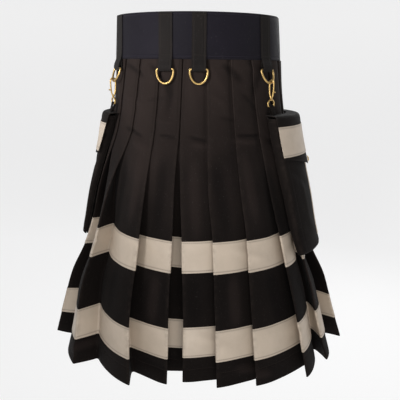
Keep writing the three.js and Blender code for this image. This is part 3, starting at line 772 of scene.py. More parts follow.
def base_material(name: str) -> tuple[bpy.types.Material, Nodes, bpy.types.Node]:
    """A material with only its Principled shader.

    Args:
        name: The material's name.

    Returns:
        The material, its node maker and its shader.
    """
    material = bpy.data.materials.new(name)
    material.use_nodes = True
    material.node_tree.nodes.clear()
    nodes = Nodes(material.node_tree)
    shader = nodes.add("ShaderNodeBsdfPrincipled")
    nodes.add("ShaderNodeOutputMaterial", {"Surface": shader.outputs[0]})
    return material, nodes, shader


def sewn(n: Nodes, row: StitchRow, flat: Socket, place: Socket) -> tuple[Socket, Socket]:
    """One stitch row on a finish.

    Args:
        n: The finish's node maker.
        row: The row.
        flat: Place on the flat cloth.
        place: Place in the scene.

    Returns:
        Where its thread shows and how deep it dips.
    """
    width, length = n.parts(flat)[:2]
    measured = {Axis.ACROSS: width, Axis.DOWN: length}.get(row.axis) or n.value("fold")
    along = width if row.axis is Axis.DOWN else length
    node = n.group("stitch", {"Across": measured, "Along": along, "Line": row.line})
    thread, dip = node.outputs["Thread"], node.outputs["Dip"]
    if row.above is not None:
        height = n.parts(place)[2]
        kept = n.between(height, row.above - HALF_FADE, row.above + HALF_FADE)
        thread, dip = n.math("MULTIPLY", thread, kept), n.math("MULTIPLY", dip, kept)
    return thread, dip


@dataclass(frozen=True)
class Twill:
    """Dyed cotton twill with its rows of stitches. Depths are in metres, and the other numbers are
    shares of a mix."""

    SLOT = "cloth"
    name: str
    dark: Colour
    faded: Colour
    rows: tuple[StitchRow, ...] = ()
    relief: float = 0.5
    sheen: float = 0.015
    rough: float = 0.82
    glint: float = 0.05
    # painted light: a lighter colour towards the top of the skirt, where the light falls on the
    # hips
    painted_top_light: Colour | None = None
    painted_light_heights: tuple[float, float] = (-0.37, -0.13)
    painted_light_share: float = 0.9
    lint: Colour = (0.22, 0.2, 0.19)
    lighter: float = 2.2
    shade: float = 0.45
    patchy: float = 0.55
    ribbed: float = 0.16
    rubbed: float = 0.6
    # painted shade darkens the crease furrows and painted highlight lightens the crease ridges
    painted_furrow_shade: float = 0.6
    ridge: float = 0.4
    dusty: float = 0.14
    shaded: float = 0.35
    threaded: float = 0.75
    weave_depth: float = 0.00012
    pucker_depth: float = 0.0011
    thread_height: float = 0.0004
    dip_depth: float = 0.0005

    def build(self) -> bpy.types.Material:
        """Mixes weave, patches of fading, painted light towards the top, painted shade in crease
        furrows, painted highlights on crease ridges, lint, rubbed folds and stitches.

        Returns:
            The finish as a material.
        """
        material, n, shader = base_material(self.name)
        flat = n.add("ShaderNodeUVMap", uv_map="flat").outputs[0]
        place = n.add("ShaderNodeTexCoord").outputs["Object"]
        weave = n.group("twill", {"Flat": flat}).outputs
        wear = n.group("wear", {"Where": place, "Edge": n.value("edge")}).outputs
        crease = n.value("crease")
        lighter = tuple(self.lighter * v for v in self.faded)
        shade = tuple(self.shade * v for v in self.dark)
        colour = n.tint((*self.dark, 1), wear["Patch"], self.patchy, self.faded)
        # painted light: the cloth grows lighter towards the top of the skirt, by height, unevenly
        if self.painted_top_light is not None:
            painted_light_mask = n.between(n.parts(place)[2], *self.painted_light_heights)
            uneven = n.between(n.noise(place, 5, 3), 0.1, 0.75)
            colour = n.tint(colour, n.math("MULTIPLY", painted_light_mask, uneven), self.painted_light_share, self.painted_top_light)
        colour = n.tint(colour, weave["Rib"], self.ribbed, lighter)
        colour = n.tint(colour, wear["Rubbed"], self.rubbed, lighter)
        # painted shade in the crease furrows and painted highlight on the crease ridges, by the
        # crease height
        colour = n.tint(colour, n.between(crease, -0.2, -1.8), self.painted_furrow_shade, self.dark)
        colour = n.tint(colour, n.between(crease, 0.2, 1.8), self.ridge, self.painted_top_light or lighter)
        colour = n.tint(colour, wear["Speck"], self.dusty, self.lint)
        pucker = n.math("MULTIPLY", n.noise(place, 55, 3), self.pucker_depth)
        height = n.math("MULTIPLY_ADD", weave["Height"], self.weave_depth, pucker)
        for row in self.rows:
            thread, dip = sewn(n, row, flat, place)
            colour = n.tint(colour, dip, self.shaded, shade)
            colour = n.tint(colour, thread, self.threaded, lighter)
            height = n.math("MULTIPLY_ADD", thread, self.thread_height, height)
            height = n.math("MULTIPLY_ADD", dip, -self.dip_depth, height)
        rough = n.math("MULTIPLY_ADD", n.noise(place, 30, 2), 0.12, self.rough - 0.06)
        n.dress(shader, colour, rough, height, self.relief)
        shader.inputs["Sheen Weight"].default_value = self.sheen
        shader.inputs["Sheen Roughness"].default_value = 0.5
        shader.inputs["Specular IOR Level"].default_value = self.glint
        return material


@dataclass(frozen=True)
class ReflectiveTape:
    """Grey reflective tape: fine glass beads on a woven ground, with sewn edges and scuffs. Depths
    are in metres, and the other numbers are shares of a mix."""

    SLOT = "tape"
    name: str
    light: Colour
    dull: Colour
    rows: tuple[StitchRow, ...] = ()
    thread: Colour = (0.16, 0.14, 0.12)
    shade: float = 0.45
    cloudy: float = 0.5
    patchy: float = 0.3
    beaded: float = 0.22
    rubbed: float = 0.5
    scuffed: float = 0.3
    shaded: float = 0.3
    threaded: float = 0.55
    bead_depth: float = 0.00008
    pucker_depth: float = 0.0009
    thread_height: float = 0.0004
    relief: float = 0.45

    def build(self) -> bpy.types.Material:
        """Mixes beads, clouds, scuffs, rubbed edges and stitches, with painted shade in the dips
        along the stitches.

        Returns:
            The finish as a material.
        """
        material, n, shader = base_material(self.name)
        flat = n.add("ShaderNodeUVMap", uv_map="flat").outputs[0]
        place = n.add("ShaderNodeTexCoord").outputs["Object"]
        wear = n.group("wear", {"Where": place, "Edge": n.value("edge")}).outputs
        beads = n.noise(place, 1500, 1)
        cloudy = n.between(n.noise(place, 26, 4, 0.6), 0.25, 0.8)
        scuff = n.between(n.noise(flat, 210, 5, 0.75), 0.62, 0.72)
        worn = tuple(self.shade * v for v in self.dull)
        patch = n.math("MULTIPLY", wear["Patch"], self.patchy)
        patch = n.math("MULTIPLY_ADD", cloudy, self.cloudy, patch)
        colour = n.mix(patch, (*self.light, 1), (*self.dull, 1))
        colour = n.tint(colour, n.between(beads, 0.35, 0.7), self.beaded, self.light)
        colour = n.tint(colour, wear["Rubbed"], self.rubbed, worn)
        colour = n.tint(colour, scuff, self.scuffed, worn)
        pucker = n.math("MULTIPLY", n.noise(place, 70, 4), self.pucker_depth)
        height = n.math("MULTIPLY_ADD", beads, self.bead_depth, pucker)
        for row in self.rows:
            thread, dip = sewn(n, row, flat, place)
            # painted shade in the dip along each stitch row, in the worn colour
            colour = n.tint(colour, dip, self.shaded, worn)
            colour = n.tint(colour, thread, self.threaded, self.thread)
            height = n.math("MULTIPLY_ADD", dip, -self.thread_height, height)
            height = n.math("MULTIPLY_ADD", thread, self.thread_height, height)
        n.dress(shader, colour, n.math("MULTIPLY_ADD", cloudy, 0.14, 0.42), height, self.relief)
        shader.inputs["Specular IOR Level"].default_value = 0.4
        return material


@dataclass(frozen=True)
class Brass:
    """Pale cast and drawn brass, rubbed bright on its rounds and dull in between."""

    SLOT = "brass"
    name: str
    bright: Colour
    dull: Colour
    pitted: Colour = (0.16, 0.1, 0.05)
    grain_depth: float = 0.00006
    relief: float = 0.5

    def build(self) -> bpy.types.Material:
        """Mixes bright and dull brass with fine pits.

        Returns:
            The finish as a material.
        """
        material, n, shader = base_material(self.name)
        place = n.add("ShaderNodeTexCoord").outputs["Object"]
        cloud = n.between(n.noise(place, 130, 4, 0.6), 0.3, 0.72)
        fine = n.noise(place, 1400, 3, 0.7)
        colour = n.mix(cloud, (*self.bright, 1), (*self.dull, 1))
        colour = n.tint(colour, n.between(fine, 0.62, 0.74), 0.45, self.pitted)
        rough = n.math("MULTIPLY_ADD", fine, 0.18, n.math("MULTIPLY_ADD", cloud, 0.16, 0.14))
        n.dress(shader, colour, rough, n.math("MULTIPLY", fine, self.grain_depth), self.relief)
        shader.inputs["Metallic"].default_value = 1.0
        return material


GROUPS: dict[str, bpy.types.NodeTree] = {}
BLACK, FADED = (0.0036, 0.0027, 0.0025), (0.0092, 0.0068, 0.0058)
# painted light: the lighter colour of the upper skirt, also used for the painted highlights on
# crease ridges
PAINTED_TOP_LIGHT = (0.0215, 0.0152, 0.0135)
WAIST_BLACK, WAIST_FADED = (0.0032, 0.0025, 0.0047), (0.0075, 0.006, 0.0104)
TAPE_LIGHT, TAPE_DULL = (0.5, 0.415, 0.33), (0.385, 0.32, 0.255)
HEM_STITCH = StitchRow(Axis.DOWN, -0.517)
HALF_FADE = 0.002


def sewn_at(axis: Axis, *lines: float) -> tuple[StitchRow, ...]:
    """Stitch rows on one axis."""
    return tuple(StitchRow(axis, line) for line in lines)


class Finish(Enum):
    """The kilt's finishes."""

    PLEATED = Twill("pleated twill", BLACK, FADED,
                    (StitchRow(Axis.FOLD, 0.0035, -0.156), HEM_STITCH), painted_top_light=PAINTED_TOP_LIGHT)
    APRON = Twill("apron twill", BLACK, FADED, (HEM_STITCH,), painted_top_light=PAINTED_TOP_LIGHT)
    WAISTBAND = Twill("waistband twill", WAIST_BLACK, WAIST_FADED,
                      sewn_at(Axis.DOWN, -0.004, -0.0685), sheen=0.04, rough=0.66, glint=0.1)
    LOOP = Twill("loop twill", BLACK, FADED,
                 sewn_at(Axis.ACROSS, 0.003, 0.020) + sewn_at(Axis.DOWN, -0.004, -0.066),
                 sheen=0.03, rough=0.74, glint=0.12)
    STRAP = Twill("strap twill", BLACK, FADED, sewn_at(Axis.ACROSS, 0.0015, 0.0085))
    POCKET = Twill("pocket twill", BLACK, FADED,
                   sewn_at(Axis.ACROSS, 0.026, 0.186) + sewn_at(Axis.DOWN, -0.006))
    FLAP = Twill("flap twill", BLACK, FADED, sewn_at(Axis.ACROSS, 0.0035, 0.1785))
    TAPE = ReflectiveTape("reflective tape", TAPE_LIGHT, TAPE_DULL,
                          sewn_at(Axis.DOWN, -0.0025, -0.0495))
    STRIP = ReflectiveTape("pocket tape", TAPE_LIGHT, TAPE_DULL,
                           sewn_at(Axis.ACROSS, 0.0025, 0.0225))
    BRASS = Brass("brass", (0.83, 0.66, 0.42), (0.6, 0.44, 0.24))

    def material(self) -> bpy.types.Material:
        """The finish's material, made once."""
        return bpy.data.materials.get(self.value.name) or self.value.build()


def tagged(piece: bpy.types.Object, node: str, body: str = "kilt") -> None:
    """Puts a piece on its body in place of a CAD node.

    Args:
        piece: The piece.
        node: The node's name.
        body: The body's name.
    """
    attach(piece, body)
    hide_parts(node)
    log.info("%s: %d points", piece.name, len(piece.data.vertices))


def sew(node: str, shell: Shell, grid: Array, finish: Finish, held: Held, *rests_on: str) -> None:
    """Makes one cut sheet in place of a CAD node.

    Args:
        node: The node's name, and with the finish's slot the piece's.
        shell: The sheet's surface.
        grid: Its middle surface; not used.
        finish: Its finish.
        held: How it is held; not used.
        rests_on: Pieces that it rests on; not used.
    """
    piece = make_piece(f"{node}_{finish.value.SLOT}", [shell], finish.material())
    tagged(piece, node)


# Panels.

@dataclass(frozen=True)
class Pleat:
    """One fold edge: its distance from the centre back at six heights, how far it stands out at the
    hem and how far the pleat has swung open there, in degrees."""

    at: tuple[float, ...]
    out: float
    open: float


@dataclass
class PleatedBack:
    """The pleated panel and the two bands sewn across it."""

    right: tuple[Pleat, ...] = (
        Pleat((1.1, -2.8, 1, 8, 19, 21), -16, 48), Pleat((39, 42, 47, 60, 74, 80), 4, 36),
        Pleat((78, 88, 101, 119, 137, 147), 5, 36), Pleat((117, 135, 160, 186, 220, 240), 12, 46),
        Pleat((156, 181, 206, 240, 283, 316), -6, 56), Pleat((195, 226, 252, 297, 376, 427), 0, 62))
    left: tuple[Pleat, ...] = (
        Pleat((1.1, 5.2, 9, 9, 7, 6), -6, 70), Pleat((39, 49, 60, 67, 71, 66), 12, 72),
        Pleat((78, 98, 142, 170, 192, 192), 6, 112), Pleat((117, 144, 194, 247, 306, 343), 3, 112),
        Pleat((156, 188, 238, 294, 382, 430), 0, 70), Pleat((195, 232, 281, 339, 446, 508), 0, 60))
    right_seam: tuple[float, ...] = (245, 278, 310, 362, 458, 514)
    left_seam: tuple[float, ...] = (240, 278, 326, 392, 510, 578)
    heights: tuple[float, ...] = (SEAM, -155, -250, -332, -384, -476, HEM)
    underfold: tuple[float, ...] = (30, 34, 38, 42, 44, 45, 45)
    opened: tuple[float, ...] = (0, 0, 0.3, 0.55, 0.63, 0.8, 1)
    swung: tuple[float, ...] = (0, 0, 0, 0.1, 0.2, 0.7, 1)
    inner: tuple[float, ...] = (1.05, 1.05, 2, 3.8, 3.8, 3.8, 3.8)
    free_from: float = 0.63
    seam_reach: float = 3.0
    edge_reach: float = 2.0
    valley_reach: float = 6.0
    shoulder_width: float = 1.5
    shoulder_room: float = 4.0
    clearance: float = 0.6
    worn_width: float = 2.2
    band_inset: int = 6
    rows: int = 128

    @staticmethod
    def fold(tip: Array, arriving: Array, leaving: Array, radius: Array, turn: int) -> list[Array]:
        """A half circle round a fold, from one layer to the next: base plus the cosine of the angle
        across and its sine towards the tip.

        Args:
            tip: Where the fold turns, in each row.
            arriving: Direction of the layer that comes to it.
            leaving: Direction of the layer that leaves it.
            radius: Radius of the fold.
            turn: 1 or -1, the side on which the first layer lies.

        Returns:
            Five points round the fold, each one place in every row.
        """
        e = unit(arriving - leaving)
        base = tip - e * radius[:, None]
        q = np.stack([e[:, 1], -e[:, 0]], -1) * turn
        angles = np.linspace(0, math.pi, 5)
        return [base + (q * math.cos(a) + e * math.sin(a)) * radius[:, None] for a in angles]

    def half(self, z: Array, pleats: Sequence[Pleat], middle: Array, end: Array
             ) -> tuple[list[Array], list[int], list[int]]:
        """One half of the panel, from the box pleat's middle out to its seam.

        Args:
            z: Heights of the rows.
            pleats: Its fold edges.
            middle: Where it starts in each row.
            end: Where it ends.

        Returns:
            Its points (each one place in every row), how many pieces each stretch is cut into, and
            the points that are fold edges.
        """
        under, opened, swung, radius = (smooth(self.heights, column, z) for column in (
            self.underfold, self.opened, self.swung, self.inner))
        ridge, tucked = np.full(len(z), LAYER / 2), np.full(len(z), -TUCK)
        tips = [np.stack([smooth(STATIONS, p.at, z), p.out * swung], -1) for p in pleats]
        valleys = []
        for p, tip in zip(pleats, tips):
            angle = np.radians(p.open * opened)
            depth = np.maximum(LAYER, under * np.sin(angle))
            valleys.append(tip + np.stack([under * np.cos(angle), -LAYER / 2 - depth], -1))
        points: list[Array] = [np.stack([middle, valleys[0][:, 1] - radius], -1)]
        cuts, edges = [3], []
        came = points[0]
        for k, valley in enumerate(valleys):
            last = k + 1 == len(valleys)
            tip = tips[k] - np.array([0, LAYER / 2])
            after = np.stack([end, tucked], -1) if last else valleys[k + 1]
            back = unit(tip - valley)
            # round the valley, then out and round the fold edge
            inside = self.fold(valley, unit(valley - came), back, radius, 1)
            points += inside
            cuts += [1, 1, 1, 1, 6]
            outside = self.fold(tip, back, unit(after - tip), ridge, -1)
            edges.append(len(points) + 2)
            points += outside
            cuts += [1, 1, 1, 1, 1]
            start = outside[-1]
            # on along the face, over the valley beneath, and down under the next fold edge
            goal = after if last else after - np.stack([np.zeros(len(z)), radius], -1)
            slope = (goal[:, 1] - start[:, 1]) / (goal[:, 0] - start[:, 0])
            reach = end - self.seam_reach if last else np.minimum(
                tips[k + 1][:, 0] - self.edge_reach, goal[:, 0] - self.valley_reach)
            low = start[:, 1] + slope * (reach - start[:, 0])
            knee = tucked if last else np.minimum(tips[k + 1][:, 1] - 2 * LAYER, low)
            half_way = (start[:, 0] + reach) / 2
            shoulder = np.minimum(valley[:, 0] + self.shoulder_width, reach - self.shoulder_room)
            shoulder = np.maximum(shoulder, half_way)
            above = valley[:, 1] + 2 * radius + CLOTH + self.clearance
            straight = start[:, 1] + slope * (shoulder - start[:, 0])
            over = np.minimum(np.maximum(straight, above), start[:, 1])
            bow = SLACK * np.maximum(opened - self.free_from, 0)
            for part in np.linspace(1 / 6, 1, 6):
                rise = start[:, 1] + (over - start[:, 1]) * part + bow * 2 * part * (1 - part)
                points.append(np.stack([start[:, 0] + (shoulder - start[:, 0]) * part, rise], -1))
                cuts.append(1)
            cuts[-1] = 4
            came = np.stack([reach, knee], -1)
            points.append(came)
            cuts.append(2)
        points.append(np.stack([end, tucked], -1))
        return points, cuts, edges

    @staticmethod
    def divided(points: Sequence[Array], cuts: Sequence[int]) -> tuple[Array, list[int]]:
        """Cuts a row's longer stretches into equal pieces.

        Args:
            points: The row's points, each one place in every row.
            cuts: How many pieces each stretch is cut into.

        Returns:
            The grid of points, and the column to which each first point has gone.
        """
        columns, moved = [], []
        for k, point in enumerate(points):
            moved.append(len(columns))
            columns.append(point)
            if k + 1 < len(points):
                step = points[k + 1] - point
                columns += [point + step * j / cuts[k] for j in range(1, cuts[k])]
        return np.stack(columns, 1), moved

    def row_points(self, z: Array) -> tuple[Array, list[int]]:
        """Lays the two halves side by side, then draws each point three times towards the middle of
        its two neighbours, which rounds the folds.

        Args:
            z: Heights of the rows.

        Returns:
            The rows as distance round and distance out, and the columns of the fold edges.
        """
        first, first_left = self.right[0], self.left[0]
        middle = (smooth(STATIONS, first.at, z) - smooth(STATIONS, first_left.at, z)) / 2
        right_end = smooth(STATIONS, self.right_seam, z) - GAP / 2
        left_end = smooth(STATIONS, self.left_seam, z) - GAP / 2
        right, right_cuts, right_edges = self.half(z, self.right, middle, right_end)
        left, left_cuts, left_edges = self.half(z, self.left, -middle, left_end)
        right_grid, right_at = self.divided(right, right_cuts)
        left_grid, left_at = self.divided(left, left_cuts)
        mirror = left_grid[:, ::-1] * np.array([-1, 1])
        centre = np.stack([middle, (right_grid[:, 0, 1] + mirror[:, -1, 1]) / 2], -1)
        count = mirror.shape[1] - 1
        grid = np.concatenate([mirror[:, :-1], centre[:, None], right_grid[:, 1:]], 1)
        edges = [count - left_at[k] for k in reversed(left_edges)]
        edges += [count + right_at[k] for k in right_edges]
        for _ in range(3):
            back, on = grid[:, :-2] - grid[:, 1:-1], grid[:, 2:] - grid[:, 1:-1]
            before = np.linalg.norm(back, axis=-1, keepdims=True) + 1e-6
            behind = np.linalg.norm(on, axis=-1, keepdims=True) + 1e-6
            grid[:, 1:-1] += 0.4 * (back / before + on / behind) / (1 / before + 1 / behind)
        return grid, edges

    def surface(self, z: Array) -> tuple[Array, Array, Array, Array]:
        """The panel's middle surface at heights.

        Args:
            z: Heights of the rows, from the top down.

        Returns:
            Points, distance along the cloth from the nearest fold edge in metres, how worn each
            point is, and how far the creases move it.
        """
        grid, edges = self.row_points(z)
        s, out = grid[..., 0], grid[..., 1]
        heights = spread(z, s.shape[1])
        points = FORM.place(s, out + FORM.drape(s, heights), heights)
        run = run_lengths(points, 1)
        gaps = np.stack([run - run[:, [k]] for k in edges])
        nearest = np.abs(gaps).argmin(0)
        fold = np.take_along_axis(gaps, nearest[None], 0)[0]
        middle = (edges[len(self.left) - 1] + edges[len(self.left)]) // 2
        fold[:, :middle] *= -1
        worn = np.exp(-(fold / self.worn_width) ** 2)
        return points, fold * MM, worn, FORM.creased(s, heights)

    def build(self) -> None:
        """Builds the panel, then its bands, each a wall moved out from the same surface."""
        z = np.linspace(SEAM, HEM, self.rows)
        points, fold, worn, creased = self.surface(z)
        turned_in = spread(ease(*HEM_TURN, z), points.shape[1])
        # crease carries the creases' height, from which the finish paints shade in furrows and
        # highlight on ridges
        values = {"fold": fold, "edge": worn, "crease": creased}
        low, high = -CLOTH / 2 - 0.7 * turned_in, CLOTH / 2 + 0.15 * turned_in
        shell = cloth_shell(points, low, high, values)
        sew("pleated_back", shell, points, Finish.PLEATED, Held.HUNG, "waistband_cloth")
        inside = slice(self.band_inset, -self.band_inset)
        for name, (top, foot) in BANDS.items():
            rows = self.surface(np.linspace(top, foot, BAND_ROWS))
            points, fold, worn = (row[:, inside] for row in rows[:3])
            shell = tape_shell(points, {"fold": fold, "edge": worn})
            sew(f"band_{name}_back", shell, points, Finish.TAPE, Held.LAID, "pleated_back_cloth")


@dataclass
class Aprons:
    """The over apron with its bands, and the apron that lies under it."""

    over_edge: tuple[float, ...] = (236, 268, 300, 351, 446, 500)
    under_edge: tuple[float, ...] = (258, 300, 350, 418, 534, 600)
    right_seam: tuple[float, ...] = PleatedBack.right_seam
    left_seam: tuple[float, ...] = PleatedBack.left_seam
    tucked_from: float = 0.93
    turned_edge: tuple[float, float] = (14.0, 12.0)
    worn_width: float = 2.5
    columns: int = 110
    rows: int = 110

    def over(self, z: Array) -> Array:
        """Middle surface of the over apron: on the form, tucked in at its side seam."""
        start = smooth(STATIONS, self.over_edge, z)
        end = FORM.round_length(z) - smooth(STATIONS, self.left_seam, z) - GAP / 2
        part = np.linspace(0, 1, self.columns)
        return self.laid(z, start, end, -TUCK * ease(self.tucked_from, 1, part)[None])

    def under(self, z: Array) -> Array:
        """Middle surface of the under apron, a layer further in."""
        start = smooth(STATIONS, self.right_seam, z) + GAP / 2
        end = FORM.round_length(z) - smooth(STATIONS, self.under_edge, z)
        return self.laid(z, start, end, -TUCK)

    def laid(self, z: Array, start: Array, end: Array, out: Array | float) -> Array:
        """Points from one edge to another, on the draped form.

        Args:
            z: Heights of the rows.
            start: Distance round of the first edge in each row.
            end: Distance round of the other.
            out: How far out the points lie.

        Returns:
            Points, rows by columns.
        """
        s = start[:, None] + (end - start)[:, None] * np.linspace(0, 1, self.columns)
        heights = spread(z, self.columns)
        return FORM.place(s, FORM.drape(s, heights) + out, heights)

    def build(self) -> None:
        """Builds both aprons with turned edges and hems, and the bands on the over apron."""
        z = np.linspace(SEAM, HEM, self.rows)
        hem = ease(*HEM_TURN, z)[:, None]
        for name, points in (("over_apron", self.over(z)), ("under_apron", self.under(z))):
            run = run_lengths(points, 1)
            away = run if name == "over_apron" else run[:, -1:] - run
            turned_in = np.maximum(hem, ease(*self.turned_edge, away))
            values = {"fold": away * MM, "edge": np.exp(-(away / self.worn_width) ** 2)}
            shell = cloth_shell(points, -CLOTH / 2 - 0.6 * turned_in, CLOTH / 2, values)
            sew(name, shell, points, Finish.APRON, Held.HUNG, "waistband_cloth")
        for name, (top, foot) in BANDS.items():
            points = self.over(np.linspace(top, foot, BAND_ROWS))
            sew(f"band_{name}_apron", tape_shell(points), points, Finish.TAPE, Held.LAID,
                "over_apron_cloth")


@dataclass
class Waistband:
    """The stiffened band: once round the outside, then on under the over apron. Its profile gives
    half its thickness at each height, less at its edges and along the two stitch rows."""

    PROFILE = (
        (36.5, 0.5), (36.3, 0.95), (35.8, 1.3), (35.0, 1.48), (33.9, 1.5), (33.1, 1.42),
        (32.5, 1.32), (31.9, 1.42), (31.0, 1.5), *((h, 1.5) for h in range(26, -30, -5)),
        (-30.6, 1.45), (-31.6, 1.3), (-32.4, 1.42), (-33.4, 1.5), (-35.2, 1.42), (-36.0, 1.2),
        (-36.5, 0.8))
    face: float = 1.2
    under: float = -2.4
    wall: float = 3.0
    over_end: float = 236.0
    under_end: float = 258.0
    step: float = 40.0
    allowance: float = 3.2
    columns: int = 320

    def build(self) -> None:
        """Builds the band with rounded edges, a dip along each stitch row, slight waves, and a
        ridge inside its foot where it holds the layers' seam allowance."""
        z, half = np.array(self.PROFILE, float).T[..., None]
        length = float(FORM.round_length(np.array([0.0]))[0])
        s = np.linspace(self.over_end - length, length - self.under_end, self.columns)[None]
        part = ease(self.over_end - self.step, self.over_end - 4, s)
        outer, inner = self.face - self.wall / 2, self.under - self.wall / 2
        wave = 0.35 * np.sin(s / 31 + z / 60) + 0.25 * np.sin(s / 13 - z / 23)
        lap = np.where(s > self.over_end - self.step - 5, 0.0, 1.0)
        points = FORM.place(s, outer + (inner - outer) * part + wave * lap * 0.7, z)
        rim = np.exp(-((z - self.PROFILE[0][0]) / 1.4) ** 2) * np.ones_like(s)
        ridge = self.allowance * ease(-28, -35, z)
        shell = cloth_shell(points, -half - ridge, half, {"edge": rim})
        sew("waistband", shell, points, Finish.WAISTBAND, Held.STRETCHED)


# Loops, rings and hooks.

@dataclass(frozen=True)
class LoopPlace:
    """One loop: its name, angle on the form, tilt of its ring and how far its hook has slid."""

    name: str
    angle: float
    tilt: float = 0.0
    slid: float = 0.0

    @property
    def body(self) -> str:
        """Body that the ring belongs to."""
        return "kilt" if self.tilt > 0 else f"free_ring_{self.name}"


class Frame:
    """Directions at an angle of the form: right along the cloth, outward and up."""

    def __init__(self, degrees: float, z: float) -> None:
        """Works the directions out at one height."""
        self.degrees = degrees
        t = np.array(math.radians(degrees))
        self.origin = FORM.at_angle(t, np.array(0.0), np.array(z))
        self.outward = FORM.at_angle(t, np.array(1.0), np.array(z)) - self.origin
        self.right = np.array([-self.outward[1], self.outward[0], 0.0])

    def point(self, x: Array, out: Array, z: Array) -> Array:
        """Places points along these directions.

        Args:
            x: Distances to the right.
            out: Distances outward.
            z: Heights.

        Returns:
            Points in millimetres.
        """
        x, out, z = np.broadcast_arrays(*(np.asarray(v, float) for v in (x, out, z)))
        points = self.origin + x[..., None] * self.right + out[..., None] * self.outward
        points[..., 2] = z
        return points

    def lean(self, z: float) -> float:
        """How far the form stands out at a height from its place at the ring's bar."""
        there = FORM.at_angle(np.array(math.radians(self.degrees)), np.array(0.0), np.array(z))
        return float((there - self.origin) @ self.outward)


def ribbon(frame_at: Frame, side: Sequence[tuple[float, float]], width: float, thickness: float,
           middle: float = 0.0, count: int = 90) -> tuple[Shell, Array]:
    """A flat ribbon that follows a side view of (out, z) points, thinner at its two edges.

    Args:
        frame_at: Directions where it lies.
        side: Its side view from the top down.
        width: Across it.
        thickness: Through it.
        middle: How far its middle lies to the right.
        count: Points along it.

    Returns:
        The ribbon and its middle surface.
    """
    line = curved(np.array(side), count)
    x = np.linspace(-0.5, 0.5, 9) * width
    grid = frame_at.point(middle + x[None], line[:, :1], line[:, 1:])
    part = np.tile(np.abs(x) / (width / 2), (count, 1))
    half = thickness / 2 * (1 - 0.55 * part ** 10)
    return cloth_shell(grid, -half, half, {"edge": 0.7 * part ** 6}), grid


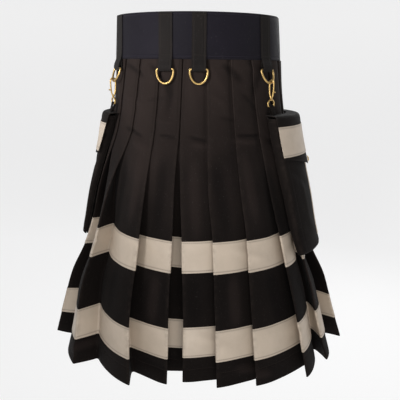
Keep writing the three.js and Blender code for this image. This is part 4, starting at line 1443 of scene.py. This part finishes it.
@dataclass
class Hardware:
    """Loops, D-rings, snap hooks and their straps."""

    RING_POINTS, HOOK_POINTS = 110, 90
    RING_SIDES, HOOK_SIDES = 16, 14
    places: tuple[LoopPlace, ...] = (
        LoopPlace("back_left", -21), LoopPlace("back_right", 0),
        LoopPlace("side_right", 48, 20, 5), LoopPlace("front_right", 117, 20, -5),
        LoopPlace("side_left", -66, 20, -5), LoopPlace("front_left", -134, 20, 5))
    width: float = 23.0
    cloth: float = 1.2
    seat: float = 2.4
    wire: float = 3.4
    bar_out: float = 4.9
    bar_z: float = -52.4
    half: float = 14.4
    drop: float = 23.0
    corner: float = 3.0
    hook_wire: float = 2.8
    hook_width: float = 9.0
    hook_length: float = 30.0
    hook_post: float = 3.0
    eye_width: float = 17.0
    eye_height: float = 13.0
    strap_width: float = 10.0
    strap_foot: float = -126.4
    strap_seat: float = 11.0

    def loop(self, place: LoopPlace, at: Frame) -> None:
        """Builds one loop: down the waistband, round the ring's bar and back up behind.

        Args:
            place: Which loop.
            at: Directions where it lies.
        """
        reach = self.wire / 2 + GAP + self.cloth / 2 + 0.1
        slant = 0.72 * reach
        out, z = self.bar_out, self.bar_z
        on_band = [(self.seat + at.lean(height), height) for height in (35.5, 0, -24)]
        side = on_band + [
            (self.seat + 1.5 + at.lean(-36), -36), (out + reach * 0.85, z + 6),
            (out + reach, z + 0.5), (out + slant, z - slant), (out, z - reach),
            (out - slant, z - slant), (out - reach, z + 0.5), (out - reach + 0.2, z + 13.5)]
        shell, grid = ribbon(at, side, self.width, self.cloth)
        sew(f"loop_{place.name}", shell, grid, Finish.LOOP, Held.FOLDED, "waistband_cloth")

    def ring(self, place: LoopPlace, at: Frame) -> None:
        """Builds one D-ring: a straight bar and a bow, as one round wire in its own plane.

        Args:
            place: The loop that holds it.
            at: Directions where it lies.
        """
        tilt = math.radians(place.tilt)
        a = np.linspace(0, math.pi, 17)
        deep = self.drop - self.corner
        bow = np.stack([self.half * np.cos(a), -self.corner - deep * np.sin(a)], -1)
        bar = np.stack([np.linspace(-1, 1, 5) * (self.half - 2.4), np.zeros(5)], -1)
        turn = np.array([[self.half - 0.7, -0.7]])
        outline = np.concatenate([bar, turn, bow, turn * (-1, 1)])
        line = curved(outline, self.RING_POINTS, closed=True)
        points = at.point(line[:, 0], self.bar_out - line[:, 1] * math.sin(tilt),
                          self.bar_z + line[:, 1] * math.cos(tilt))
        up = at.outward * math.cos(tilt) + np.array([0, 0, math.sin(tilt)])
        wire = tube(points, self.wire / 2, self.RING_SIDES, up)
        piece = make_piece(f"ring_{place.name}_wire", [wire], Finish.BRASS.material(), 80)
        tagged(piece, f"ring_{place.name}", place.body)

    def hook(self, place: LoopPlace, at: Frame) -> None:
        """Builds one snap hook and its strap: a bow through the ring with its thumb lever, a turned
        collar and post, and a flat eye with the strap round its bar.

        Args:
            place: The loop whose ring holds it.
            at: Directions where it lies.
        """
        tilt = math.radians(place.tilt)
        aside = place.slid / self.half
        down = self.corner + (self.drop - self.corner) * math.sqrt(1 - aside ** 2)
        out, z = self.bar_out + down * math.sin(tilt), self.bar_z - down * math.cos(tilt)
        top = z + self.wire / 2 + 2.5 * GAP + self.hook_wire / 2
        foot, half = top - self.hook_length, self.hook_width / 2
        a = np.linspace(0, math.pi, 9)
        bow = [(out + half * math.cos(v), top - half + half * math.sin(v)) for v in a]
        bow += [(out - half * 0.8, foot + 8), (out - 1.6, foot + 1.5), (out, foot),
                (out + 1.6, foot + 1.5), (out + half * 0.8, foot + 8)]
        line = curved(np.array(bow), self.HOOK_POINTS, closed=True)
        radius = self.hook_wire / 2
        thick = radius * (1 + 0.1 * np.sin(np.linspace(0, 2 * math.pi, self.HOOK_POINTS)))
        bow = at.point(place.slid, line[:, 0], line[:, 1])
        shells = [tube(bow, np.minimum(thick, radius + 0.05), self.HOOK_SIDES, at.right)]
        eye_top = foot - self.hook_post
        wide, tall = self.eye_width / 2 - radius, self.eye_height - self.hook_wire
        eye = [(wide * 0.45, 0), (wide, -tall * 0.35), (wide, -tall + 1), (wide - 1, -tall)]
        eye = [(-eye[0][0], 0), *eye, *((-x, y) for x, y in reversed(eye[1:]))]
        line = curved(np.array(eye), self.HOOK_POINTS, closed=True)
        eye = at.point(place.slid + line[:, 0], out, eye_top + line[:, 1])
        shells.append(tube(eye, radius, self.HOOK_SIDES, at.outward))
        base = at.point(place.slid, out, eye_top - 0.8)
        shells.append(turned(COLLAR_PROFILE, base, np.array([0, 0, 1.0]), 24))
        lever = at.point(place.slid, out + half * 0.8, foot + 9)
        tip = at.point(place.slid, out + half + 3.4, foot + 10.5)
        length = float(np.linalg.norm(tip - lever))
        profile = [(0.9, 0), (0.9, length * 0.55), (1.25, length * 0.75), (1.3, length * 0.92),
                   (0.7, length + 0.4)]
        shells.append(turned(profile, lever, tip - lever, 18))
        piece = make_piece(f"hook_{place.name}_metal", shells, Finish.BRASS.material(), 60)
        tagged(piece, f"hook_{place.name}")
        self.strap(place, at, out, eye_top - tall)

    def strap(self, place: LoopPlace, at: Frame, out: float, bar: float) -> None:
        """Builds one strap, from the pocket's flap up round the bar of a hook's eye and back.

        Args:
            place: The loop whose hook holds it.
            at: Directions where it lies.
            out: How far out the eye's bar lies.
            bar: The bar's height.
        """
        reach = self.hook_wire / 2 + GAP + self.cloth / 2 + 0.1
        seat = at.lean(self.strap_foot) + self.strap_seat
        side = [(seat - 1.2, self.strap_foot), (out - reach, bar - 1.5),
                (out - reach * 0.8, bar + reach * 0.6), (out, bar + reach),
                (out + reach * 0.8, bar + reach * 0.6), (out + reach, bar - 1.5),
                (seat + 1.2, self.strap_foot)]
        shell, grid = ribbon(at, side, self.strap_width, self.cloth, place.slid, 50)
        held_by = f"hook_{place.name}_metal"
        sew(f"strap_{place.name}", shell, grid, Finish.STRAP, Held.FOLDED, held_by)

    def build(self) -> None:
        """Builds every loop with its ring and, where it has one, its hook."""
        for place in self.places:
            at = Frame(place.angle, self.bar_z)
            self.loop(place, at)
            self.ring(place, at)
            if place.tilt > 0:
                self.hook(place, at)


COLLAR_PROFILE = ((2.3, 0), (2.55, 0.5), (2.2, 1.1), (1.5, 1.5), (1.45, 2.3), (2.1, 2.7),
                  (2.5, 3.3), (2.35, 4.3), (1.7, 4.9))
SNAP_PROFILE = ((5.9, 0.0), (6.0, 0.35), (5.9, 0.85), (5.3, 1.1), (4.6, 1.15), (4.2, 1.5),
                (3.7, 2.1), (2.8, 2.45), (1.5, 2.58), (0.0, 2.6))


def snap(node: str, point: Array, outward: Array) -> None:
    """Builds one round snap: a rolled rim about a low dome.

    Args:
        node: The CAD node's name.
        point: Middle of its foot.
        outward: The way that it faces.
    """
    dome = turned(SNAP_PROFILE, point, outward, 40)
    piece = make_piece(f"{node}_metal", [dome], Finish.BRASS.material(), 50)
    tagged(piece, node)


# Pockets.

@dataclass
class Pocket:
    """One cargo pocket: a back, a front with gussets in one, a flap with its band, a strip of tape
    down the front and a snap."""

    name: str
    angle: float
    angle_foot: float
    full: float
    full_foot: float
    CREASES = (
        Crease((-80, -215), (-18, -262), 8, -1.3), Crease((80, -212), (24, -250), 8, -1.2),
        Crease((-60, -300), (-20, -340), 9, 1.1), Crease((66, -282), (30, -338), 9, -1.2),
        Crease((-78, -352), (-30, -362), 6, -1.2), Crease((34, -358), (80, -346), 6, 1.1),
        Crease((-50, -240), (-44, -320), 7, 0.9), Crease((52, -236), (58, -300), 8, 0.8),
        Crease((-70, -150), (-30, -176), 7, -0.7), Crease((20, -140), (70, -168), 8, 0.7))
    FRONT_ROWS, FRONT_COLUMNS, FLAP_ROWS = 64, 86, 56
    FACE_STEP = 0.205
    half: float = 88.0
    top: float = -131.0
    foot: float = -370.0
    back: float = 4.8
    crown: float = 2.6
    stand_off: float = 0.8
    worn_width: float = 2.5
    flap_half: float = 91.0
    flap_top: float = -127.6
    flap_low: float = -199.0
    flap_point: float = -219.0
    band_top: float = -145.0
    band_foot: float = -196.0
    strip_half: float = 12.5
    strip_top: float = -204.0
    strip_foot: float = -350.0

    def down(self, z: Array) -> Array:
        """Heights as parts of the way from the pocket's mouth to its foot."""
        return (self.top - z) / (self.top - self.foot)

    def depth(self, z: Array) -> Array:
        """How full the gussets stand at heights."""
        return self.full + (self.full_foot - self.full) * self.down(z)

    def puff(self, x: Array, z: Array) -> Array:
        """How the front swells and creases: a low crown, drags from the upper corners and breaks
        above the foot.

        Args:
            x: Distances to the right of the pocket's middle.
            z: Heights.

        Returns:
            How far each place moves out.
        """
        part = np.clip(np.clip(self.down(z), 0, 1) * 1.05, 0, 1)
        crown = self.crown * (1 - (x / self.half) ** 2) * np.sin(math.pi * part)
        return crown + sum(crease.at(x, z) for crease in self.CREASES)

    def point(self, x: Array, out: Array, z: Array) -> Array:
        """Points of the pocket. The further out, the more they follow the swelling of the front.

        Args:
            x: Distances to the right of the pocket's middle.
            out: Distances out from the form.
            z: Heights.

        Returns:
            Points in millimetres.
        """
        x, out, z = np.broadcast_arrays(*(np.asarray(v, float) for v in (x, out, z)))
        s = FORM.arc(z, self.angle + (self.angle_foot - self.angle) * self.down(z)) + x
        moved = out + self.puff(x, z) * ease(self.back + 4, self.back + 9, out)
        return FORM.place(s, moved, z)

    def face(self, z: Array) -> Array:
        """Middle of the cloth of the front, out from the form."""
        return self.back + CLOTH + GAP + self.depth(z) + self.stand_off

    def add(self, node: str, grid: Array, finish: Finish, rests: str,
            edge: Array | None = None) -> None:
        """Makes one cloth or tape piece of the pocket.

        Args:
            node: The piece's name among the pocket's.
            grid: Its middle surface.
            finish: Its finish.
            rests: The piece that it rests on.
            edge: How worn each point is.
        """
        values = None if edge is None else {"edge": edge}
        if finish.value.SLOT == "tape":
            shell = tape_shell(grid, values, 0.1 if node == "strip" else 0.05)
        else:
            shell = cloth_shell(grid, -CLOTH / 2, CLOTH / 2, values)
        held = Held.FOLDED if node in ("front", "flap") else Held.HUNG
        sew(f"pocket_{node}_{self.name}", shell, grid, finish, held, rests)

    def build(self) -> None:
        """Builds the pocket's pieces from the back out."""
        x = np.linspace(-self.half, self.half, 44)[None]
        z = np.linspace(self.top, self.foot, 50)[:, None]
        rim = np.tile((np.abs(x) / self.half) ** 20, (len(z), 1))
        self.add("back", self.point(x, self.back, z), Finish.POCKET, "pleated_back_cloth", rim)
        self.build_front()
        self.build_flap()

    def build_front(self) -> None:
        """Builds the front and its gussets as one cross-section carried down the pocket, closing
        in at the foot."""
        foot = self.foot
        heights = np.array([self.top - 1, -180, -230, -280, -332, foot + 12, foot + 4.5, foot + 1.2,
                            foot - 0.4])
        share = np.array([1, 1, 1, 1, 1, 1, 0.94, 0.66, 0.26])
        line = curved(np.stack([heights, self.depth(heights) * share], -1), self.FRONT_ROWS)
        z, depth = line[:, :1], line[:, 1]
        h, level = self.half, 0 * depth
        side = [(level - h, level), (level - h - 0.5, depth * 0.5), (level - h + 0.6, depth - 1.8),
                (level - h + 4, depth)]
        face = [(level + part * self.FACE_STEP * h, depth + self.stand_off)
                for part in range(-4, 5)]
        rows = [*side, *face, *[(-px, out) for px, out in reversed(side)]]
        cross = np.stack([np.stack(row, -1) for row in rows], 1)
        fine = np.stack([curved(row, self.FRONT_COLUMNS) for row in cross])
        grid = self.point(fine[..., 0], self.back + CLOTH + GAP + fine[..., 1], z)
        away = (np.abs(fine[..., 0]) - h + 1.5) / self.worn_width
        corner = np.exp(-away ** 2) * ease(4, 8, fine[..., 1])
        self.add("front", grid, Finish.POCKET, f"pocket_back_{self.name}_cloth", corner)

    def build_flap(self) -> None:
        """Builds the flap with its pointed foot, its band, the strip below it and the snap."""
        x = np.linspace(-self.flap_half, self.flap_half, 61)
        level = 0 * x
        face = float(self.face(np.array(self.top))) + CLOTH + BAND_CLOTH + 3 * GAP
        point = (1 - np.abs(x) / self.flap_half) ** 1.3
        low = self.flap_low + (self.flap_point - self.flap_low) * point
        top, band_top, band_foot = self.flap_top, face + 0.2, face - 0.3
        steps = [(level + top, 4.2), (level + top, (face + 3) / 2), (level + top - 0.8, face - 2),
                 (level + top - 4, face), (level + self.band_top, band_top),
                 (level + self.band_foot, band_foot), (low, band_foot)]
        profile = np.stack([np.stack([heights, level + out], -1) for heights, out in steps], 0)
        fine = np.stack([curved(profile[:, k], self.FLAP_ROWS) for k in range(len(x))], 1)
        grid = self.point(x[None], fine[..., 1], fine[..., 0])
        foot = np.exp(-((fine[..., 0] - low[None]) / self.worn_width) ** 2)
        rim = np.maximum(foot, (np.abs(x) / self.flap_half)[None] ** 24)
        self.add("flap", grid, Finish.FLAP, f"pocket_front_{self.name}_cloth", rim)
        z = np.linspace(self.band_top, self.band_foot, 18)[:, None]
        out = np.interp(z, [self.band_foot, self.band_top], [band_foot, band_top])
        grid = self.point(x[None], out, z)
        self.add("flap_band", grid, Finish.TAPE, f"pocket_flap_{self.name}_cloth")
        z = np.linspace(self.strip_top, self.strip_foot, 50)[:, None]
        wide = np.linspace(-self.strip_half, self.strip_half, 9)[None]
        grid = self.point(wide, self.face(z), z)
        self.add("strip", grid, Finish.STRIP, f"pocket_front_{self.name}_cloth")
        z0 = self.flap_point + 9
        out0 = band_foot + CLOTH / 2 + 0.45
        spot = self.point(np.array([0.0, 1.0, 0.0]), out0, np.array([z0, z0, z0 + 1]))
        outward = unit(np.cross(spot[1] - spot[0], spot[2] - spot[0]))
        snap(f"pocket_snap_{self.name}", spot[0], outward)


# The studio.

@dataclass
class Studio:
    """Pale floor and wall, soft lights and the camera."""

    focal: float = 51.75
    camera: Point = (0.0, -1.068, -0.0475)
    pitch: float = math.radians(13.1)
    yaw: float = math.radians(0.17)
    roll: float = math.radians(0.6)
    floor: float = -1.15

    def place_camera(self) -> None:
        """Sets the camera up behind the kilt, looking slightly down."""
        data = bpy.data.cameras.new("view")
        data.lens, data.sensor_width, data.sensor_fit = self.focal, 36.0, "HORIZONTAL"
        data.clip_start, data.clip_end = 0.01, 50
        seen = bpy.data.objects.new("view", data)
        forward = Vector((math.sin(self.yaw) * math.cos(self.pitch),
                          math.cos(self.yaw) * math.cos(self.pitch), -math.sin(self.pitch)))
        right = Vector((math.cos(self.yaw), -math.sin(self.yaw), 0))
        up = right.cross(forward)
        across = right * math.cos(self.roll) + up * math.sin(self.roll)
        over = up * math.cos(self.roll) - right * math.sin(self.roll)
        turn = Matrix((across, over, -forward)).transposed()
        seen.matrix_world = Matrix.Translation(self.camera) @ turn.to_4x4()
        bpy.context.scene.collection.objects.link(seen)
        bpy.context.scene.camera = seen

    @staticmethod
    def hang(data: bpy.types.Light, place: Point, aim: Point, watts: float) -> None:
        """Hangs a light.

        Args:
            data: The light.
            place: Where it hangs.
            aim: The point that it faces.
            watts: Its power.
        """
        data.energy = watts
        light = bpy.data.objects.new(data.name, data)
        light.location = place
        facing = (Vector(aim) - Vector(place)).to_track_quat("-Z", "Y")
        light.rotation_euler = facing.to_euler()
        bpy.context.scene.collection.objects.link(light)

    def add_lights(self) -> None:
        """Hangs a soft round light on the left of the waist and square ones before and behind."""
        spot = bpy.data.lights.new("key", "SPOT")
        spot.shadow_soft_size, spot.spot_size, spot.spot_blend = 0.3, math.radians(24), 1.0
        self.hang(spot, (-1.15, -1.25, 0.45), (-0.13, -0.1, 0.03), 240)
        fill = bpy.data.lights.new("fill", "AREA")
        fill.size, fill.color = 0.8, (1.0, 0.98, 0.95)
        self.hang(fill, (0.15, -1.6, -0.7), (0.05, 0, -0.52), 9.5)
        rear = bpy.data.lights.new("rear", "AREA")
        rear.size = 1.2
        self.hang(rear, (0.9, 1.6, 0.6), (0, 0, -0.25), 14)

    def build(self) -> None:
        """Builds the floor with its curved rise, the lights and the camera."""
        self.place_camera()
        a = np.linspace(0, math.pi / 2, 16)[1:]
        y = np.concatenate([[-6.0, 2.5], 2.5 + 1.5 * np.sin(a), [4.0]])
        z = np.concatenate([[0.0, 0.0], 1.5 - 1.5 * np.cos(a), [6.0]]) + self.floor
        x = np.broadcast_to([-8.0, 8.0], (len(y), 2))
        points = np.stack([x, spread(y, 2), spread(z, 2)], -1)
        index = np.arange(len(y) * 2).reshape(-1, 2)
        quads = quads_of(index[:-1, 0], index[:-1, 1], index[1:, 1], index[1:, 0])
        material, nodes, shader = base_material("pale paper")
        grain = nodes.noise(nodes.add("ShaderNodeTexCoord").outputs["Object"], 1.5, 1)
        tone = nodes.mix(grain, (0.485, 0.485, 0.485, 1), (0.495, 0.495, 0.495, 1))
        nodes.tree.links.new(tone, shader.inputs["Base Color"])
        for key, value in (("Emission Color", (1, 1, 1, 1)), ("Emission Strength", 0.56),
                           ("Roughness", 0.9), ("Specular IOR Level", 0.1)):
            shader.inputs[key].default_value = value
        sweep = Shell(points.reshape(-1, 3) / MM, quads, np.zeros((len(y) * 2, 2)))
        make_piece("floor", [sweep], material)
        world = bpy.data.worlds.new("pale room")
        world.use_nodes = True
        sky = world.node_tree.nodes["Background"].inputs
        sky["Color"].default_value = (0.95, 0.955, 0.97, 1)
        sky["Strength"].default_value = 0.45
        bpy.context.scene.world = world
        bpy.context.scene.view_settings.view_transform = "Standard"
        self.add_lights()


@dataclass
class Kilt:
    """The whole garment."""

    back: PleatedBack = field(default_factory=PleatedBack)
    aprons: Aprons = field(default_factory=Aprons)
    waistband: Waistband = field(default_factory=Waistband)
    hardware: Hardware = field(default_factory=Hardware)
    pockets: tuple[Pocket, ...] = (
        Pocket("right", 82.5, 82.5, 17, 10), Pocket("left", -101, -127, 10, 9))

    def build(self) -> None:
        """Builds the garment from the waist down and then what hangs on it."""
        self.waistband.build()
        self.back.build()
        self.aprons.build()
        self.hardware.build()
        for pocket in self.pockets:
            pocket.build()
        for number, z in ((1, 18.0), (2, -18.0)):
            s = self.waistband.over_end + 24
            low, high = FORM.place(s, np.array([1.75, 2.75]), z)
            snap(f"waist_snap_{number}", low, high - low)


def main() -> None:
    """Builds the studio and the kilt."""
    logging.basicConfig(level=logging.INFO, format="%(name)s: %(message)s")
    GROUPS.update(twill=twill_group(), stitch=stitch_group(), wear=wear_group())
    Studio().build()
    Kilt().build()


if __name__ == "__main__":
    main()
